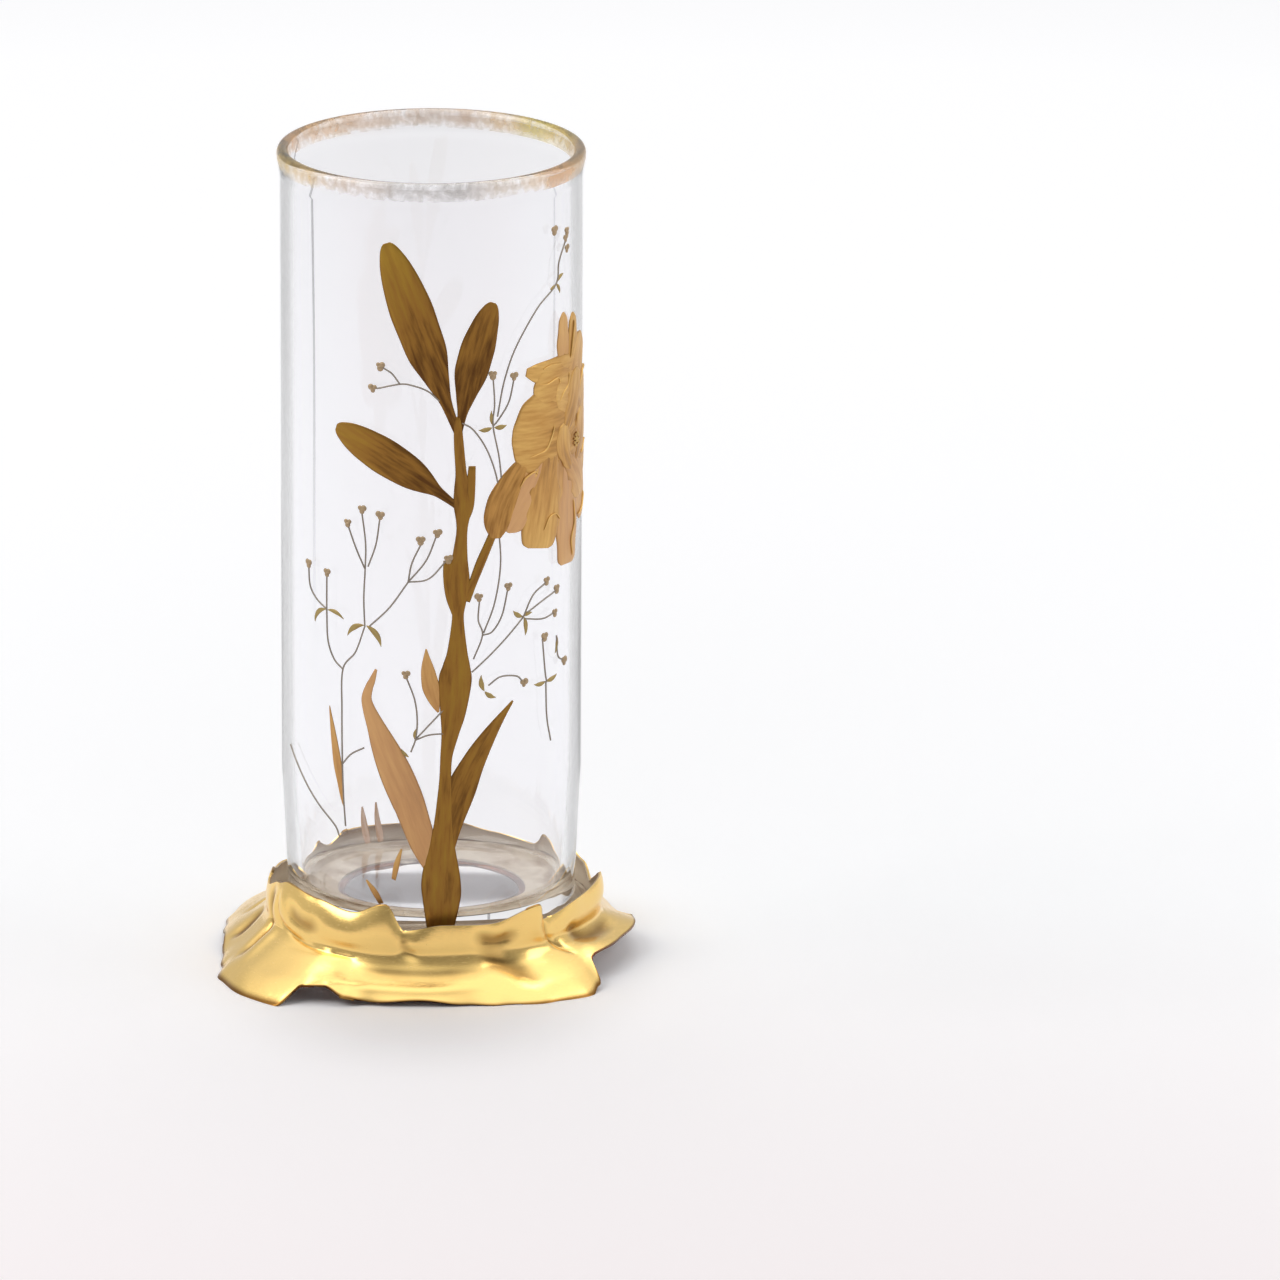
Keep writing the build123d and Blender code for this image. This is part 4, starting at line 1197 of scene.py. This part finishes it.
def surroundings(scene, strength):
    """Even white as the camera sees it, dimmed a little through the glass as painted shade, with the dim room
    behind it in reflections.
    """
    world = bpy.data.worlds.new("studio")
    scene.world = world
    world.use_nodes = True
    world.node_tree.nodes.clear()
    add = partial(add_node, world.node_tree)
    path = add("ShaderNodeLightPath").outputs
    way = add("ShaderNodeSeparateXYZ", {0: add("ShaderNodeTexCoord").outputs["Generated"]}).outputs
    front = add("ShaderNodeMapRange", {
        "Value": way["Y"], "From Min": -0.9, "From Max": 0.1, "To Min": 0.3, "To Max": 0.7})
    high = add("ShaderNodeMapRange", {
        "Value": way["Z"], "From Min": 0.25, "From Max": 0.85, "To Max": 1.45})
    room = add("ShaderNodeMath", {0: front, 1: high}, operation="MAXIMUM")
    seen = add("ShaderNodeMath", {
        0: path["Is Camera Ray"], 1: path["Is Transmission Ray"]}, operation="MAXIMUM")
    # Seen through the glass the white is a little dimmer: painted shade inside the glass.
    bent = add("ShaderNodeMapRange", {"Value": path["Is Transmission Ray"], "To Min": 1, "To Max": 0.9})
    mirrored = add("ShaderNodeMix", {0: path["Is Glossy Ray"], 2: strength, 3: room}, data_type="FLOAT")
    shown = add("ShaderNodeMix", {0: seen, 2: mirrored, 3: bent}, data_type="FLOAT")
    back = add("ShaderNodeBackground", {"Color": (*linear("#fdfdfe"), 1), "Strength": shown})
    add("ShaderNodeOutputWorld", {"Surface": back})


def soft_lamp(scene, name, place, size, power):
    """Square soft lamp that faces the vase."""
    data = bpy.data.lights.new(name, "AREA")
    data.size = size
    data.energy = power
    lamp = bpy.data.objects.new(name, data)
    lamp.location = place
    lamp.rotation_euler = (Vector((0, 0, 0.1)) - Vector(place)).to_track_quat("-Z", "Y").to_euler()
    scene.collection.objects.link(lamp)


def dark_card(scene, across, depth):
    """Thin dark strip behind the vase that only shows bent through the glass, as a fine upright line."""
    half, back, tall = 2.2 * MM, 0.3, 0.42
    mesh = bpy.data.meshes.new("dark_card")
    mesh.from_pydata([(across - half, back, 0), (across + half, back, 0), (across + half, back, tall),
                      (across - half, back, tall)], [], [(0, 1, 2, 3)])
    material, add, place = new_material("dark_card")
    height = add("ShaderNodeSeparateXYZ", {0: place}).outputs["Z"]
    shown = add("ShaderNodeMapRange", {"Value": height, "From Min": 0, "From Max": 0.13, "To Max": depth})
    clear = add("ShaderNodeBsdfTransparent")
    matt = add("ShaderNodeEmission", {"Color": (0.1, 0.1, 0.1, 1)})
    both = add("ShaderNodeMixShader", {0: shown, 1: clear, 2: matt})
    add("ShaderNodeOutputMaterial", {"Surface": both})
    mesh.materials.append(material)
    card = bpy.data.objects.new("dark_card", mesh)
    scene.collection.objects.link(card)
    for ray in ("camera", "diffuse", "glossy", "shadow"):
        setattr(card, "visible_" + ray, False)


def photo_camera(scene, stage):
    """Camera at the photograph's angle, placed so that the foot stands on its named pixel."""
    distance = stage.focal_pixels / stage.scale_pixels * MM
    half_frame = 640
    column = (stage.foot_column - half_frame) / stage.scale_pixels * MM
    row = (half_frame - stage.foot_row) / stage.scale_pixels * MM
    forward = Vector((0, math.cos(stage.pitch), -math.sin(stage.pitch)))
    level, upright = Vector((1, 0, 0)), Vector((0, math.sin(stage.pitch), math.cos(stage.pitch)))
    right = level * math.cos(stage.roll) + upright * math.sin(stage.roll)
    up = upright * math.cos(stage.roll) - level * math.sin(stage.roll)
    data = bpy.data.cameras.new("photo_camera")
    data.sensor_width = 36
    data.lens = stage.focal_pixels * data.sensor_width / (2 * half_frame)
    data.clip_end = 100
    camera = bpy.data.objects.new("photo_camera", data)
    turn = Matrix((right, up, -forward)).transposed().to_4x4()
    camera.matrix_world = Matrix.Translation(-(right * column + up * row + forward * distance)) @ turn
    scene.collection.objects.link(camera)
    scene.camera = camera


class VASE_OT_stage(bpy.types.Operator):
    """Lay the pale floor, hang the soft lamps and set the camera"""

    bl_idname = "vase.stage"
    bl_label = "Set the stage"

    def execute(self, context):
        scene = context.scene
        stage = scene.vase_stage
        scene.view_settings.view_transform = "Standard"
        mesh = bpy.data.meshes.new("studio_floor")
        reach, sunk = 8, -0.00006
        mesh.from_pydata([(-reach, -reach, sunk), (reach, -reach, sunk), (reach, reach, sunk),
                          (-reach, reach, sunk)], [], [(0, 1, 2, 3)])
        mesh.materials.append(floor_material(stage))
        floor = bpy.data.objects.new("studio_floor", mesh)
        scene.collection.objects.link(floor)
        surroundings(scene, stage.sky)
        soft_lamp(scene, "key_lamp", (-0.85, -0.25, 1.0), 0.8, stage.key_power)
        soft_lamp(scene, "fill_lamp", (0.95, -0.1, 0.75), 0.7, stage.fill_power)
        soft_lamp(scene, "top_lamp", (0.1, 0.6, 1.3), 0.9, stage.top_power)
        dark_card(scene, -0.079, 0.65)
        dark_card(scene, 0.079, 0.3)
        photo_camera(scene, stage)
        return {"FINISHED"}


OPERATORS = (VASE_OT_glass, VASE_OT_foot, VASE_OT_seat, VASE_OT_rim, VASE_OT_branch, VASE_OT_blossom,
             VASE_OT_sprigs, VASE_OT_stage)
GROUPS = {"vase_glass": GlassSizes, "vase_foot": FootSizes, "vase_gilding": GildingSizes,
          "vase_finish": Finishes, "vase_stage": StageSettings}


class VASE_PT_workshop(bpy.types.Panel):
    """Sizes, colours and steps of the vase."""

    bl_label = "Gilded cylinder vase"
    bl_idname = "VASE_PT_workshop"
    bl_space_type = "VIEW_3D"
    bl_region_type = "UI"
    bl_category = "Vase"

    def draw(self, context):
        for operator in OPERATORS:
            self.layout.operator(operator.bl_idname)
        for name, group in GROUPS.items():
            box = self.layout.box()
            box.label(text=group.__doc__)
            for key in group.__annotations__:
                box.prop(getattr(context.scene, name), key)


def register():
    for group in GROUPS.values():
        bpy.utils.register_class(group)
    for name, group in GROUPS.items():
        setattr(bpy.types.Scene, name, PointerProperty(type=group))
    for operator in OPERATORS + (VASE_PT_workshop,):
        bpy.utils.register_class(operator)


def unregister():
    for operator in reversed(OPERATORS + (VASE_PT_workshop,)):
        bpy.utils.unregister_class(operator)
    for name, group in reversed(GROUPS.items()):
        delattr(bpy.types.Scene, name)
        bpy.utils.unregister_class(group)


def main():
    """Makes every piece and the stage."""
    register()
    bpy.ops.vase.glass()
    bpy.ops.vase.foot()
    bpy.ops.vase.seat()
    bpy.ops.vase.rim()
    bpy.ops.vase.branch()
    bpy.ops.vase.blossom()
    bpy.ops.vase.sprigs()
    bpy.ops.vase.stage()


if __name__ == "__main__":
    main()
